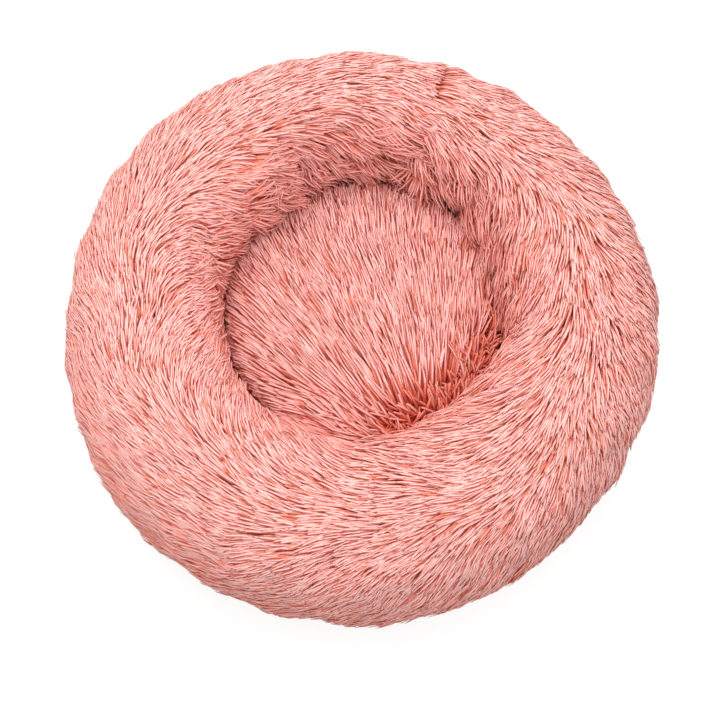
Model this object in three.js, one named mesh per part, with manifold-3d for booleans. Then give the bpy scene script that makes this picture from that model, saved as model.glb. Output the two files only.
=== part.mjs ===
// A round plush pet bed: a stuffed ring in long-pile fur round a crowned seat cushion.
// Millimetres, +Z up. The origin is on the floor under the middle of the ring.
// The nest lies behind the middle, so the ring is fat in front (-Y) and slim behind.
//
// How it comes apart: a cover of two half-ring fur panels, a fur seat disc and a base cloth in
// two halves joined by a zip. Through the zip come two inserts, a ring and a seat pad, each a
// liner bag round fibre fill. The zip's slider runs along its chain and its pull tab flips over.
import * as THREE from "three";
import { mergeVertices } from "three/addons/utils/BufferGeometryUtils.js";
import Module from "manifold-3d";

const wasm = await Module();
wasm.setup();

// The whole bed
const outerRadius = 296; // middle of the ring to the outside of the pile, on average
const bedHeight = 190; // floor to the crest of the ring
const nestRadius = 142; // middle of the nest to the pile of its wall
const nestOffset = 31; // middle of the nest behind the middle of the bed
const pileDepth = 22; // lying pile with its backing, on the ring and on the seat
const fitGap = 0.3; // between pieces that touch
const looseGap = 0.7; // between the ring's layers, whose facets turn a little from one another

// The ring's cover
const ringSag = 8; // how far the round section would reach below the floor if it weren't flat
const hemHeight = 6; // lower edge of the fur panels
const seamHeight = 47; // seam between the ring and the seat
const panelWaist = 5; // how far a panel seam draws the pile in
const panelSeamAngle = 76; // first panel seam, in degrees from +X towards +Y
const ringSteps = 40; // stations round the ring
const leftPanelSteps = 19; // stations that the left panel takes
const panelFineness = 2; // stations of a fur panel to each one of the layers inside it
const sectionSteps = 20; // points round the ring's section
const sectionPower = 2.4; // 2 is an ellipse, more is boxier

// The seat and its pad
const seatHeight = 96; // floor to the seat's crown
const seatGap = 1; // seat to the facets of the nest's wall
const seatDrawIn = 4; // how far the seam pulls in the foot of the seat's side
const seatHipRise = 19; // seam to the seat's widest place
const seatSidePile = 18; // pile on the seat's side
const seatPower = 3.2; // 2 is an ellipse, more is flatter with a rounder edge
const seatSteps = 5; // points from the seat's side to its crown
const discSides = 40;
const padFootRadius = 96; // flat underside of the pad
const padHipRadius = 158; // widest place of the pad, under the ring's round
const padHipDrop = 20; // seam to that widest place
const padLegRise = 11; // underside to the lower end of the pad's side
const padLegRadius = 147;
const tapeInset = 9; // seam tape inside the nest's wall
const tapeReach = 9; // seam tape outside it
const seamTapeThickness = 1;

// Cloth
const clothThickness = 1.2;
const linerThickness = 0.8;
const pipingRadius = 2.4;
const pipingSides = 8;
const recessRadius = 114; // raised middle of the base, where the zip runs
const recessSlope = 20; // width of the slope round it

// The zip
const zipLength = 200; // end to end over the stops
const toothPitch = 3;
const toothRoot = 1.2; // width of a tooth where it leaves the spine
const toothTip = 0.9; // width of a tooth at its head
const toothLength = 3;
const headRoom = 0.6; // head of a tooth to the other row's spine
const frontPhaseShare = 0.25; // place of the front row's first tooth in its pitch
const rearPhaseShare = 0.75;
const spineWidth = 1.2;
const chainThickness = 2;
const tapeWidth = 12;
const tapeThickness = 0.5;
const tapeOverrun = 4; // tape past the stops
const stopLength = 2.4;
const clothSetBack = 2; // edge of the base cloth past the slider's side

// The slider
const sliderLength = 10;
const sliderPlate = 0.9;
const runGap = 0.3; // slider to chain and tape
const flangeWidth = 1;
const mouthFlare = 1; // how much wider the mouth is on each side
const flareStart = 5 / 3; // middle of the slider to where the flare begins to bend
const flareEnd = 2.5; // and to where it has nearly opened
const flareSteps = 4;
const wedgeLength = 3.4;
const wedgeWidth = 3;
const wedgeFrontWidth = 2;
const bridgeLength = 8;
const bridgeWidth = 2;
const bridgeWall = 0.9;
const bridgeRoom = 2.2; // inside the bridge, from the plate to the bridge's bar
const floorRoom = 1.2; // bridge to the floor

// The pull tab
const pullLength = 24; // pivot to free end
const pullForkWidth = 6;
const pullEndWidth = 7.4;
const pullThickness = 1.2;
const forkDepth = 5.4; // pivot to the crotch of the fork
const forkRoom = 0.4; // fork to the bridge's side
const pinRadius = 0.7;
const pinSides = 10;
const grommetRadius = 1.5; // hole in the free end
const arcSteps = 6; // sides that a round end takes for a quarter of a turn or more

// The outline swells and dips a little: waves per turn, share of the radius, angle of a crest
const outlineWaveShares = [
  [1, 0.0107, 160],
  [2, 0.0095, 5],
  [3, 0.007, 22],
  [5, 0.004, 335],
];

// The lying pile is lumpy: plane waves in X, Y and Z that pass through the ring's surface
const tuftSpacing = 50; // crest to crest of each wave
const tuftHeight = 1.5; // how far each wave lifts and lowers the pile
const tuftFadeAngle = 60; // the lumps fade over this much of the section, down into the nest
const tuftWaveShares = [
  [0.9, 0.3, 0.31, 0],
  [-0.35, 0.9, 0.25, 0.3],
  [0.5, -0.7, 0.5, 0.6],
  [0.55, 0.55, -0.63, 0.15],
];

// Sizes that follow from those above
const stepAngle = 360 / ringSteps;
const ringFloor = clothThickness + fitGap;
const chainHeight =
  floorRoom + bridgeWall + bridgeRoom + sliderPlate + runGap + chainThickness / 2;
const sliderHalfHeight = chainThickness / 2 + runGap + sliderPlate;
const rowHalfWidth = toothLength / 2 - headRoom / 2 + headRoom + spineWidth;
const channelHalfWidth = rowHalfWidth + runGap;
const sliderHalfWidth = channelHalfWidth + flangeWidth;
const windowHalfWidth = sliderHalfWidth + mouthFlare + clothSetBack;
const recessHeight = chainHeight + tapeThickness / 2 + fitGap;
const padFloor =
  Math.max(chainHeight + sliderHalfHeight, recessHeight + clothThickness) + fitGap;
const seatRadius = nestRadius - seatGap;
const tapeFloor = seamHeight - fitGap - seamTapeThickness;
const pivotDrop = sliderHalfHeight + bridgeRoom / 2;

const materials = {
  fur: new THREE.MeshStandardMaterial({ color: 0xefaba2, roughness: 0.95, metalness: 0 }),
  seatFur: new THREE.MeshStandardMaterial({ color: 0xeba69c, roughness: 0.95, metalness: 0 }),
  baseCloth: new THREE.MeshStandardMaterial({ color: 0xd9b3ac, roughness: 0.8, metalness: 0 }),
  piping: new THREE.MeshStandardMaterial({ color: 0xcf9f97, roughness: 0.8, metalness: 0 }),
  seamTape: new THREE.MeshStandardMaterial({ color: 0xe2bdb6, roughness: 0.85, metalness: 0 }),
  liner: new THREE.MeshStandardMaterial({ color: 0xf2efe9, roughness: 0.9, metalness: 0 }),
  fibre: new THREE.MeshStandardMaterial({ color: 0xfbfbf8, roughness: 1, metalness: 0 }),
  zipTape: new THREE.MeshStandardMaterial({ color: 0xdba79f, roughness: 0.8, metalness: 0 }),
  zipTeeth: new THREE.MeshStandardMaterial({ color: 0xe3aea6, roughness: 0.45, metalness: 0 }),
  zipMetal: new THREE.MeshStandardMaterial({ color: 0xb9b4ad, roughness: 0.35, metalness: 0.9 }),
};

const radians = THREE.MathUtils.degToRad;
const nestMiddle = new THREE.Vector3(0, nestOffset, 0);

// Geometry helpers

// Merges the shared corners of a geometry and turns its faces out.
function closed(geometry) {
  const bare = new THREE.BufferGeometry();
  bare.setAttribute("position", geometry.getAttribute("position").clone());
  if (geometry.index) bare.setIndex(geometry.index.clone());
  const merged = mergeVertices(bare);
  const at = merged.getAttribute("position");
  const corner = (i) => new THREE.Vector3().fromBufferAttribute(at, i);
  const kept = [];
  let volume = 0;
  for (let i = 0; i < merged.index.count; i += 3) {
    const [a, b, c] = [0, 1, 2].map((k) => merged.index.getX(i + k));
    if (a === b || b === c || c === a) continue;
    kept.push(a, b, c);
    volume += corner(a).dot(corner(b).cross(corner(c)));
  }
  merged.setIndex(volume < 0 ? kept.reverse() : kept);
  return merged;
}

// A closed surface through loops of points, one loop for each station of a sweep. An open sweep
// is capped: its loops run out along one side and come back along the other, point for point.
function loft(loops, sweepCloses) {
  const positions = [];
  const quad = (a, b, c, d) => {
    [a, b, c, a, c, d].forEach((p) => positions.push(p.x, p.y, p.z));
  };
  const spans = sweepCloses ? loops.length : loops.length - 1;
  for (let i = 0; i < spans; i++) {
    const here = loops[i];
    const next = loops[(i + 1) % loops.length];
    here.forEach((point, j) => {
      const k = (j + 1) % here.length;
      quad(point, here[k], next[k], next[j]);
    });
  }
  const capAt = (loop, turned) => {
    for (let j = 0; j < loop.length / 2 - 1; j++) {
      const end = loop.length - 1 - j;
      const corners = [loop[j], loop[end], loop[end - 1], loop[j + 1]];
      quad(...(turned ? corners.reverse() : corners));
    }
  };
  if (!sweepCloses) {
    capAt(loops[0], false);
    capAt(loops.at(-1), true);
  }
  const geometry = new THREE.BufferGeometry();
  geometry.setAttribute("position", new THREE.Float32BufferAttribute(positions, 3));
  return closed(geometry);
}

function toManifold(geometry) {
  const { position } = geometry.attributes;
  return new wasm.Manifold(
    new wasm.Mesh({
      numProp: 3,
      vertProperties: new Float32Array(position.array),
      triVerts: new Uint32Array(geometry.index.array),
    }),
  );
}

function fromManifold(solid) {
  const { vertProperties, triVerts } = solid.getMesh();
  const geometry = new THREE.BufferGeometry();
  geometry.setAttribute("position", new THREE.BufferAttribute(vertProperties, 3));
  geometry.setIndex(new THREE.BufferAttribute(triVerts, 1));
  return geometry;
}

function joined(...geometries) {
  const solids = geometries.map((g) => toManifold(closed(g)));
  return fromManifold(solids.reduce((whole, next) => whole.add(next)));
}

function cut(geometry, ...tools) {
  const start = toManifold(closed(geometry));
  return fromManifold(
    tools.reduce((whole, tool) => whole.subtract(toManifold(closed(tool))), start),
  );
}

function box(low, high) {
  const size = new THREE.Vector3().subVectors(high, low);
  const middle = new THREE.Vector3().addVectors(high, low).multiplyScalar(0.5);
  return new THREE.BoxGeometry(size.x, size.y, size.z).translate(middle.x, middle.y, middle.z);
}

// A flat outline pulled up in Z, centred on its own thickness.
function slab(shape, thickness) {
  return new THREE.ExtrudeGeometry(shape, {
    depth: thickness,
    bevelEnabled: false,
    curveSegments: arcSteps,
  }).translate(0, 0, -thickness / 2);
}

function outline(points) {
  return new THREE.Shape(points.map(([x, y]) => new THREE.Vector2(x, y)));
}

// A profile of [radius, height] points spun about the middle of the nest.
function spun(profile) {
  const points = profile.map(([radius, height]) => new THREE.Vector2(radius, height));
  return closed(
    new THREE.LatheGeometry(points, discSides)
      .rotateX(Math.PI / 2)
      .translate(nestMiddle.x, nestMiddle.y, nestMiddle.z),
  );
}

// The profile that lies a wall's thickness inside another one that runs from the axis outwards,
// or back to it. Its two ends keep their radius on the axis and their height elsewhere.
function insideProfile(profile, wall) {
  const normalOf = ([r0, z0], [r1, z1]) => {
    const length = Math.hypot(r1 - r0, z1 - z0);
    return [(z0 - z1) / length, (r1 - r0) / length];
  };
  return profile.map(([radius, height], i) => {
    const before = i > 0 ? normalOf(profile[i - 1], profile[i]) : null;
    const after = i < profile.length - 1 ? normalOf(profile[i], profile[i + 1]) : null;
    const [n, m] = [before ?? after, after ?? before];
    const stretch = wall / (1 + n[0] * m[0] + n[1] * m[1]);
    const moved = [radius + stretch * (n[0] + m[0]), height + stretch * (n[1] + m[1])];
    if (radius === 0) moved[0] = 0;
    else if (!before || !after) moved[1] = height;
    return moved;
  });
}

// The power of a sine or cosine that keeps its sign, for a boxy ellipse.
function boxy(value, power) {
  return Math.sign(value) * Math.abs(value) ** (2 / power);
}

// The ring

function stationAngle(step) {
  return panelSeamAngle + step * stepAngle;
}

function nestWallAt(degrees) {
  const angle = radians(degrees);
  const across = nestOffset * Math.cos(angle);
  return nestOffset * Math.sin(angle) + Math.sqrt(nestRadius ** 2 - across ** 2);
}

function outsideAt(degrees) {
  const waves = outlineWaveShares.reduce(
    (sum, [count, share, crest]) => sum + share * Math.cos(radians(count * degrees - crest)),
    1,
  );
  return outerRadius * waves;
}

// The section's size at a station: the radius of its middle and half its width.
function sectionAt(degrees) {
  const outside = outsideAt(degrees);
  const wall = nestWallAt(degrees);
  return { middle: (outside + wall) / 2, half: (outside - wall) / 2 };
}

// A layer of the ring: how far it lies inside the pile, its top, and the floor it rests on.
function ringLayer(inset, floor) {
  const top = bedHeight - inset;
  const reach = top + ringSag - floor;
  return { inset, floor, middle: top - reach / 2, half: reach / 2 };
}

const pileLayer = ringLayer(0, 0);
const backingLayer = ringLayer(pileDepth, clothThickness);
const linerLayer = ringLayer(pileDepth + looseGap, ringFloor);
const linerInside = ringLayer(linerLayer.inset + linerThickness, ringFloor + linerThickness);
const ringFillLayer = ringLayer(linerInside.inset + looseGap, linerInside.floor + fitGap);

// A point of a layer at a station, at an angle round the section: 0 outside, 90 on the crest.
function ringPoint(degrees, around, layer, waist = 0) {
  const { middle, half } = sectionAt(degrees);
  const [s, c] = [Math.sin(radians(around)), Math.cos(radians(around))];
  const radius = middle + (half - layer.inset - waist) * boxy(c, sectionPower);
  const height = layer.middle + (layer.half - waist) * boxy(s, sectionPower);
  const angle = radians(degrees);
  return new THREE.Vector3(
    radius * Math.cos(angle),
    radius * Math.sin(angle),
    Math.max(height, layer.floor),
  );
}

// How far the pile's lumps rise at a place. Each wave's last share is where in a turn it starts.
function tuftRise(degrees, around) {
  const { x, y, z } = ringPoint(degrees, around, pileLayer);
  const waves = tuftWaveShares.reduce((sum, [alongX, alongY, alongZ, start]) => {
    const turns = (alongX * x + alongY * y + alongZ * z) / tuftSpacing + start;
    return sum + Math.sin(2 * Math.PI * turns);
  }, 0);
  const fade = THREE.MathUtils.clamp((180 - around) / tuftFadeAngle, 0, 1);
  return tuftHeight * waves * fade;
}

// The angle round the section, from the outside down, at which a layer reaches a height.
function dropTo(height, layer, waist = 0) {
  const share = (layer.middle - height) / (layer.half - waist);
  return THREE.MathUtils.radToDeg(Math.asin(share ** (sectionPower / 2)));
}

// Angles round the section that a fur panel takes, from its hem over the crest to the seat seam.
function panelAngles(layer, waist) {
  const step = 360 / sectionSteps;
  const angles = [-dropTo(hemHeight, layer, waist)];
  for (let around = -2 * step; around <= 180; around += step) angles.push(around);
  angles.push(180 + dropTo(seamHeight, layer, waist));
  return angles;
}

// The knit side of a fur panel, with facets that lie along those of the liner inside it.
function backingSide(step) {
  const side = (station) =>
    panelAngles(backingLayer, 0).map((around) =>
      ringPoint(stationAngle(station), around, backingLayer),
    );
  const next = side(Math.ceil(step));
  return side(Math.floor(step)).map((point, i) => point.lerp(next[i], step % 1));
}

// One fur panel, between two stations. Its ends stand half a gap back from the seams, and the
// pile's lumps leave its hem and its seat seam where they are.
function furPanel(firstStep, lastStep) {
  const loops = [];
  for (let step = firstStep; step <= lastStep; step += 1 / panelFineness) {
    const degrees = stationAngle(step);
    const atEnd = Number(step === firstStep) - Number(step === lastStep);
    const waist = atEnd === 0 ? 0 : panelWaist;
    const angle = radians(degrees);
    const setBack = new THREE.Vector3(-Math.sin(angle), Math.cos(angle), 0).multiplyScalar(
      (atEnd * fitGap) / 2,
    );
    const outer = panelAngles(pileLayer, waist).map((around, i, angles) => {
      const isEdge = i === 0 || i === angles.length - 1;
      const rise = isEdge ? 0 : tuftRise(degrees, around);
      return ringPoint(degrees, around, pileLayer, waist - rise);
    });
    const loop = [...outer, ...backingSide(step).reverse()];
    loops.push(loop.map((point) => point.add(setBack)));
  }
  return loft(loops, false);
}

// A closed tube of one layer all round the ring.
function ringTube(layer) {
  const loops = [];
  for (let step = 0; step < ringSteps; step++) {
    const loop = [];
    for (let i = 0; i < sectionSteps; i++) {
      loop.push(ringPoint(stationAngle(step), (i * 360) / sectionSteps, layer));
    }
    loops.push(loop);
  }
  return loft(loops, true);
}

// The upper or lower panel of the ring's liner bag, sewn to the other at both equators.
function ringLiner(firstAngle) {
  const isTop = firstAngle === 0;
  const seamShift = (isTop ? fitGap : -fitGap) / 2;
  const loops = [];
  for (let step = 0; step < ringSteps; step++) {
    const side = (layer) => {
      const points = [];
      for (let i = 0; i <= sectionSteps / 2; i++) {
        const around = firstAngle + (i * 360) / sectionSteps;
        const point = ringPoint(stationAngle(step), around, layer);
        if (i === 0 || i === sectionSteps / 2) point.z = linerLayer.middle + seamShift;
        points.push(point);
      }
      return points;
    };
    loops.push([...side(linerLayer), ...side(linerInside).reverse()]);
  }
  return loft(loops, true);
}

// The seat and its pad

// Points from the widest place of the seat's side up to its crown.
function crownProfile(radius, crown) {
  const hip = seamHeight + seatHipRise;
  const points = [];
  for (let i = 0; i <= seatSteps; i++) {
    const angle = (i / seatSteps) * (Math.PI / 2);
    points.push([
      i === seatSteps ? 0 : radius * boxy(Math.cos(angle), seatPower),
      hip + (crown - hip) * boxy(Math.sin(angle), seatPower),
    ]);
  }
  return points;
}

function seatCover() {
  const insideRadius = seatRadius - seatSidePile;
  return spun([
    ...crownProfile(insideRadius, seatHeight - pileDepth).reverse(),
    [insideRadius, seamHeight],
    [seatRadius - seatDrawIn, seamHeight],
    ...crownProfile(seatRadius, seatHeight),
  ]);
}

function seatSeamTape() {
  const [inner, outer] = [nestRadius - tapeInset, nestRadius + tapeReach];
  const top = seamHeight - fitGap;
  return spun([
    [inner, tapeFloor],
    [outer, tapeFloor],
    [outer, top],
    [inner, top],
    [inner, tapeFloor],
  ]);
}

// The pad's own outline from its foot over its hips, in under the seam and up to its crown.
const padNeckRadius = seatRadius - seatSidePile - fitGap;
const padHip = [padHipRadius, seamHeight - padHipDrop];
const padUpper = [
  padHip,
  [nestRadius, tapeFloor - fitGap],
  [padNeckRadius, tapeFloor - fitGap],
  ...crownProfile(padNeckRadius, seatHeight - pileDepth - fitGap),
];
const padLower = [
  [0, padFloor],
  [padFootRadius, padFloor],
  [padLegRadius, padFloor + padLegRise],
  padHip,
];

// A liner panel of the pad: a profile and the one a wall inside it, closed into a band.
function padLiner(profile, seamShift) {
  const walls = [profile, insideProfile(profile, linerThickness)].map((wall) =>
    wall.map(([radius, height]) => [
      radius,
      height + (height === padHip[1] && radius > padNeckRadius ? seamShift : 0),
    ]),
  );
  return spun([...walls[0], ...walls[1].reverse(), walls[0][0]]);
}

function padFill() {
  const wall = linerThickness + fitGap;
  return spun([
    ...insideProfile(padLower, wall).slice(0, -1),
    [padHipRadius - wall, padHip[1]],
    ...insideProfile(padUpper, wall).slice(1),
  ]);
}

// The base

// The base seam: the piping runs under the inner edge of the hem and the cloth ends beside it.
function pipingLine(degrees) {
  const hem = ringPoint(degrees, -dropTo(hemHeight, backingLayer), backingLayer);
  return Math.hypot(hem.x, hem.y);
}

function alongRay(degrees, radius, height) {
  const angle = radians(degrees);
  return new THREE.Vector3(radius * Math.cos(angle), radius * Math.sin(angle), height);
}

// A point at a station's direction from the middle of the nest.
function fromNest(degrees, radius, height) {
  const wall = alongRay(degrees, nestWallAt(degrees), 0);
  return wall
    .sub(nestMiddle)
    .multiplyScalar(radius / nestRadius)
    .add(nestMiddle)
    .setZ(height);
}

// The whole base cloth: flat under the ring, raised in the middle so the zip clears the floor.
function baseCloth() {
  const loops = [];
  for (let step = 0; step < ringSteps; step++) {
    const degrees = stationAngle(step);
    const rim = pipingLine(degrees) - pipingRadius - fitGap;
    const side = (lift) => [
      fromNest(degrees, 0, recessHeight + lift),
      fromNest(degrees, recessRadius, recessHeight + lift),
      fromNest(degrees, recessRadius + recessSlope, lift),
      alongRay(degrees, rim, lift),
    ];
    loops.push([...side(0), ...side(clothThickness).reverse()]);
  }
  return loft(loops, true);
}

// One half of the base cloth: the other half and the window over the zip are cut away.
function baseHalf(sign) {
  const reach = 2 * outerRadius;
  const edge = nestOffset + (sign * fitGap) / 2;
  const otherHalf = box(
    new THREE.Vector3(-reach, Math.min(edge, edge - sign * reach), -reach),
    new THREE.Vector3(reach, Math.max(edge, edge - sign * reach), reach),
  );
  const window = box(
    new THREE.Vector3(-zipLength / 2, nestOffset - windowHalfWidth, -reach),
    new THREE.Vector3(zipLength / 2, nestOffset + windowHalfWidth, reach),
  );
  return cut(baseCloth(), otherHalf, window);
}

function basePiping() {
  const loops = [];
  for (let step = 0; step < ringSteps; step++) {
    const degrees = stationAngle(step);
    const middle = pipingLine(degrees);
    const loop = [];
    for (let i = 0; i < pipingSides; i++) {
      const angle = ((i + 0.5) / pipingSides) * 2 * Math.PI;
      loop.push(
        alongRay(
          degrees,
          middle + pipingRadius * Math.cos(angle),
          fitGap + pipingRadius * (1 + Math.sin(angle)),
        ),
      );
    }
    loops.push(loop);
  }
  return loft(loops, true);
}

// The zip, about its own middle: X along the chain, the pull side down

const sliderRest = zipLength / 2 - stopLength - fitGap - sliderLength / 2;
const rowStart = -zipLength / 2 + stopLength + fitGap;
const rowEnd = sliderRest + sliderLength / 2 - wedgeLength - fitGap;
const teethPerRow = Math.floor((rowEnd - rowStart - toothPitch / 2) / toothPitch);

// One row: a spine with a tooth at each pitch. The rear row is turned over and half a pitch on.
function teethRow(sign) {
  const spineInside = rowHalfWidth - spineWidth;
  const head = spineInside - toothLength;
  const points = [
    [rowEnd, spineInside],
    [rowEnd, rowHalfWidth],
    [rowStart, rowHalfWidth],
    [rowStart, spineInside],
  ];
  const phase = sign > 0 ? rearPhaseShare : frontPhaseShare;
  for (let i = 0; i < teethPerRow; i++) {
    const x = rowStart + (i + phase) * toothPitch;
    points.push(
      [x - toothRoot / 2, spineInside],
      [x - toothTip / 2, head],
      [x + toothTip / 2, head],
      [x + toothRoot / 2, spineInside],
    );
  }
  const placed = points.map(([x, y]) => [x, sign * y]);
  return slab(outline(placed), chainThickness);
}

function zipTape(sign) {
  const inner = sign * (rowHalfWidth + fitGap);
  const outer = inner + sign * tapeWidth;
  const half = zipLength / 2 + tapeOverrun;
  return box(
    new THREE.Vector3(-half, Math.min(inner, outer), -tapeThickness / 2),
    new THREE.Vector3(half, Math.max(inner, outer), tapeThickness / 2),
  );
}

// A stop pressed on the bead of one tape, or over both where low is the other bead.
function zipStop(low, high) {
  const bevel = tapeThickness / 2;
  const [x0, x1] = [-stopLength / 2, stopLength / 2];
  return slab(
    outline([
      [x0 + bevel, low],
      [x1 - bevel, low],
      [x1, low + bevel],
      [x1, high - bevel],
      [x1 - bevel, high],
      [x0 + bevel, high],
      [x0, high - bevel],
      [x0, low + bevel],
    ]),
    chainThickness + 2 * bevel,
  );
}

// Half the slider's width along its length, from its narrow tail to its flared mouth.
function sliderSide(inset) {
  const [tail, mouth] = [-sliderLength / 2, sliderLength / 2];
  const narrow = sliderHalfWidth - inset;
  const wide = narrow + mouthFlare;
  const curve = new THREE.CubicBezierCurve(
    new THREE.Vector2(0, narrow),
    new THREE.Vector2(flareStart, narrow),
    new THREE.Vector2(flareEnd, wide),
    new THREE.Vector2(mouth, wide),
  );
  return [[tail, narrow], ...curve.getPoints(flareSteps).map((p) => [p.x, p.y])];
}

function mirrored(points) {
  return points.map(([x, y]) => [x, -y]).reverse();
}

function sliderPlateOutline() {
  const side = sliderSide(0);
  const corner = flangeWidth;
  const [, first] = side[0];
  const last = side.at(-1);
  const edge = [
    [-sliderLength / 2, first - corner],
    [-sliderLength / 2 + corner, first],
    ...side.slice(1, -1),
    [last[0] - corner, last[1]],
    [last[0], last[1] - corner],
  ];
  return outline([...mirrored(edge), ...edge]);
}

// The four flanges hang from the two plates and leave a slot for each tape.
function sliderFlange(sign, upward) {
  const slot = tapeThickness / 2 + runGap;
  const height = sliderHalfHeight - slot;
  const band = [...sliderSide(flangeWidth), ...sliderSide(0).reverse()].map(([x, y]) => [
    THREE.MathUtils.clamp(x, flangeWidth - sliderLength / 2, sliderLength / 2 - flangeWidth),
    sign * y,
  ]);
  return slab(outline(band), height).translate(
    0,
    0,
    upward * (slot + height / 2),
  );
}

// The wedge between the plates that parts the two rows at the mouth.
function sliderWedge() {
  const front = sliderLength / 2 - flangeWidth / 2;
  const back = sliderLength / 2 - wedgeLength;
  const shape = outline([
    [back, 0],
    [(back + front) / 2, -wedgeWidth / 2],
    [front, -wedgeFrontWidth / 2],
    [front, wedgeFrontWidth / 2],
    [(back + front) / 2, wedgeWidth / 2],
  ]);
  return slab(shape, 2 * sliderHalfHeight - sliderPlate);
}

// The bridge under the lower plate that the pull tab's pin hangs in.
function sliderBridge() {
  const foot = -sliderHalfHeight + sliderPlate / 2;
  const inside = -sliderHalfHeight - bridgeRoom;
  const outside = inside - bridgeWall;
  const [half, hollow] = [bridgeLength / 2, bridgeLength / 2 - bridgeWall];
  const shape = outline([
    [-half, foot],
    [-half, outside + bridgeWall],
    [-half + bridgeWall, outside],
    [half - bridgeWall, outside],
    [half, outside + bridgeWall],
    [half, foot],
    [hollow, foot],
    [hollow, inside],
    [-hollow, inside],
    [-hollow, foot],
  ]);
  return slab(shape, bridgeWidth).rotateX(Math.PI / 2);
}

function zipSlider() {
  const plateRise = sliderHalfHeight - sliderPlate / 2;
  const pieces = [-1, 1].flatMap((upward) => [
    slab(sliderPlateOutline(), sliderPlate).translate(0, 0, upward * plateRise),
    sliderFlange(-1, upward),
    sliderFlange(1, upward),
  ]);
  return joined(...pieces, sliderWedge(), sliderBridge());
}

// The pull tab, about its pivot: a fork round the bridge, a pin across it, a holed round end.
function zipPull() {
  const [fork, end] = [pullForkWidth / 2, pullEndWidth / 2];
  const slotHalf = bridgeWidth / 2 + forkRoom;
  const shape = new THREE.Shape();
  shape.moveTo(pinRadius, slotHalf);
  shape.lineTo(pinRadius, fork - pinRadius);
  shape.lineTo(0, fork);
  shape.lineTo(-forkDepth, fork);
  shape.lineTo(end - pullLength, end);
  shape.absarc(end - pullLength, 0, end, Math.PI / 2, 1.5 * Math.PI, false);
  shape.lineTo(-forkDepth, -fork);
  shape.lineTo(0, -fork);
  shape.lineTo(pinRadius, pinRadius - fork);
  shape.lineTo(pinRadius, -slotHalf);
  shape.lineTo(-forkDepth, -slotHalf);
  shape.lineTo(-forkDepth, slotHalf);
  const hole = new THREE.Path();
  hole.absarc(end - pullLength, 0, grommetRadius, 0, 2 * Math.PI, true);
  shape.holes.push(hole);
  const pin = new THREE.CylinderGeometry(
    pinRadius,
    pinRadius,
    2 * slotHalf + forkRoom,
    pinSides,
  );
  return joined(slab(shape, pullThickness), pin);
}

// The assembly

function piece(name, geometry, material) {
  const mesh = new THREE.Mesh(geometry, material);
  mesh.name = name;
  return mesh;
}

function buildCover() {
  return new THREE.Group().add(
    piece("bolster_cover_left", furPanel(0, leftPanelSteps), materials.fur),
    piece("bolster_cover_right", furPanel(leftPanelSteps, ringSteps), materials.fur),
    piece("seat_cover", seatCover(), materials.seatFur),
    piece("seat_seam_tape", seatSeamTape(), materials.seamTape),
    piece("base_cloth_front", baseHalf(-1), materials.baseCloth),
    piece("base_cloth_rear", baseHalf(1), materials.baseCloth),
    piece("base_piping", basePiping(), materials.piping),
  );
}

function buildInserts() {
  return new THREE.Group().add(
    piece("ring_liner_top", ringLiner(0), materials.liner),
    piece("ring_liner_bottom", ringLiner(180), materials.liner),
    piece("ring_fill", ringTube(ringFillLayer), materials.fibre),
    piece("pad_liner_top", padLiner(padUpper, fitGap / 2), materials.liner),
    piece("pad_liner_bottom", padLiner(padLower, -fitGap / 2), materials.liner),
    piece("pad_fill", padFill(), materials.fibre),
  );
}

function buildZip() {
  const zip = new THREE.Group();
  zip.position.set(0, nestOffset, chainHeight);
  const bead = rowHalfWidth;
  const topStopX = zipLength / 2 - stopLength / 2;
  const stops = [
    piece("zip_bottom_stop", zipStop(-bead, bead), materials.zipMetal),
    piece("zip_top_stop_front", zipStop(-bead, -headRoom), materials.zipMetal),
    piece("zip_top_stop_rear", zipStop(headRoom, bead), materials.zipMetal),
  ];
  stops.forEach((stop, i) => {
    stop.position.x = i === 0 ? -topStopX : topStopX;
  });
  const slider = new THREE.Group();
  slider.position.x = sliderRest;
  const pull = piece("zip_pull", zipPull(), materials.zipMetal);
  pull.position.z = -pivotDrop;
  slider.add(piece("zip_slider", zipSlider(), materials.zipMetal), pull);
  zip.add(
    piece("zip_tape_front", zipTape(-1), materials.zipTape),
    piece("zip_tape_rear", zipTape(1), materials.zipTape),
    piece("zip_teeth_front", teethRow(-1), materials.zipTeeth),
    piece("zip_teeth_rear", teethRow(1), materials.zipTeeth),
    ...stops,
    slider,
  );
  return zip;
}

const petBed = new THREE.Group();
petBed.name = "donut_pet_bed";
petBed.add(buildCover(), buildInserts(), buildZip());

export default petBed;
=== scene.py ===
"""Dresses the donut pet bed: long pile on the ring and seat, a sewn base, a zip and a studio.

Metres, +Z up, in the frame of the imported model. The origin is on the floor under the middle of
the ring. The pile is real geometry: each strand is a tapered lock of yarn that grows from a knit
backing, leans over within a length or so and then lies along the nap.
"""

import logging
import math
from dataclasses import dataclass, field
from enum import Enum
from typing import Callable, Iterable, Sequence, Union

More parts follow.
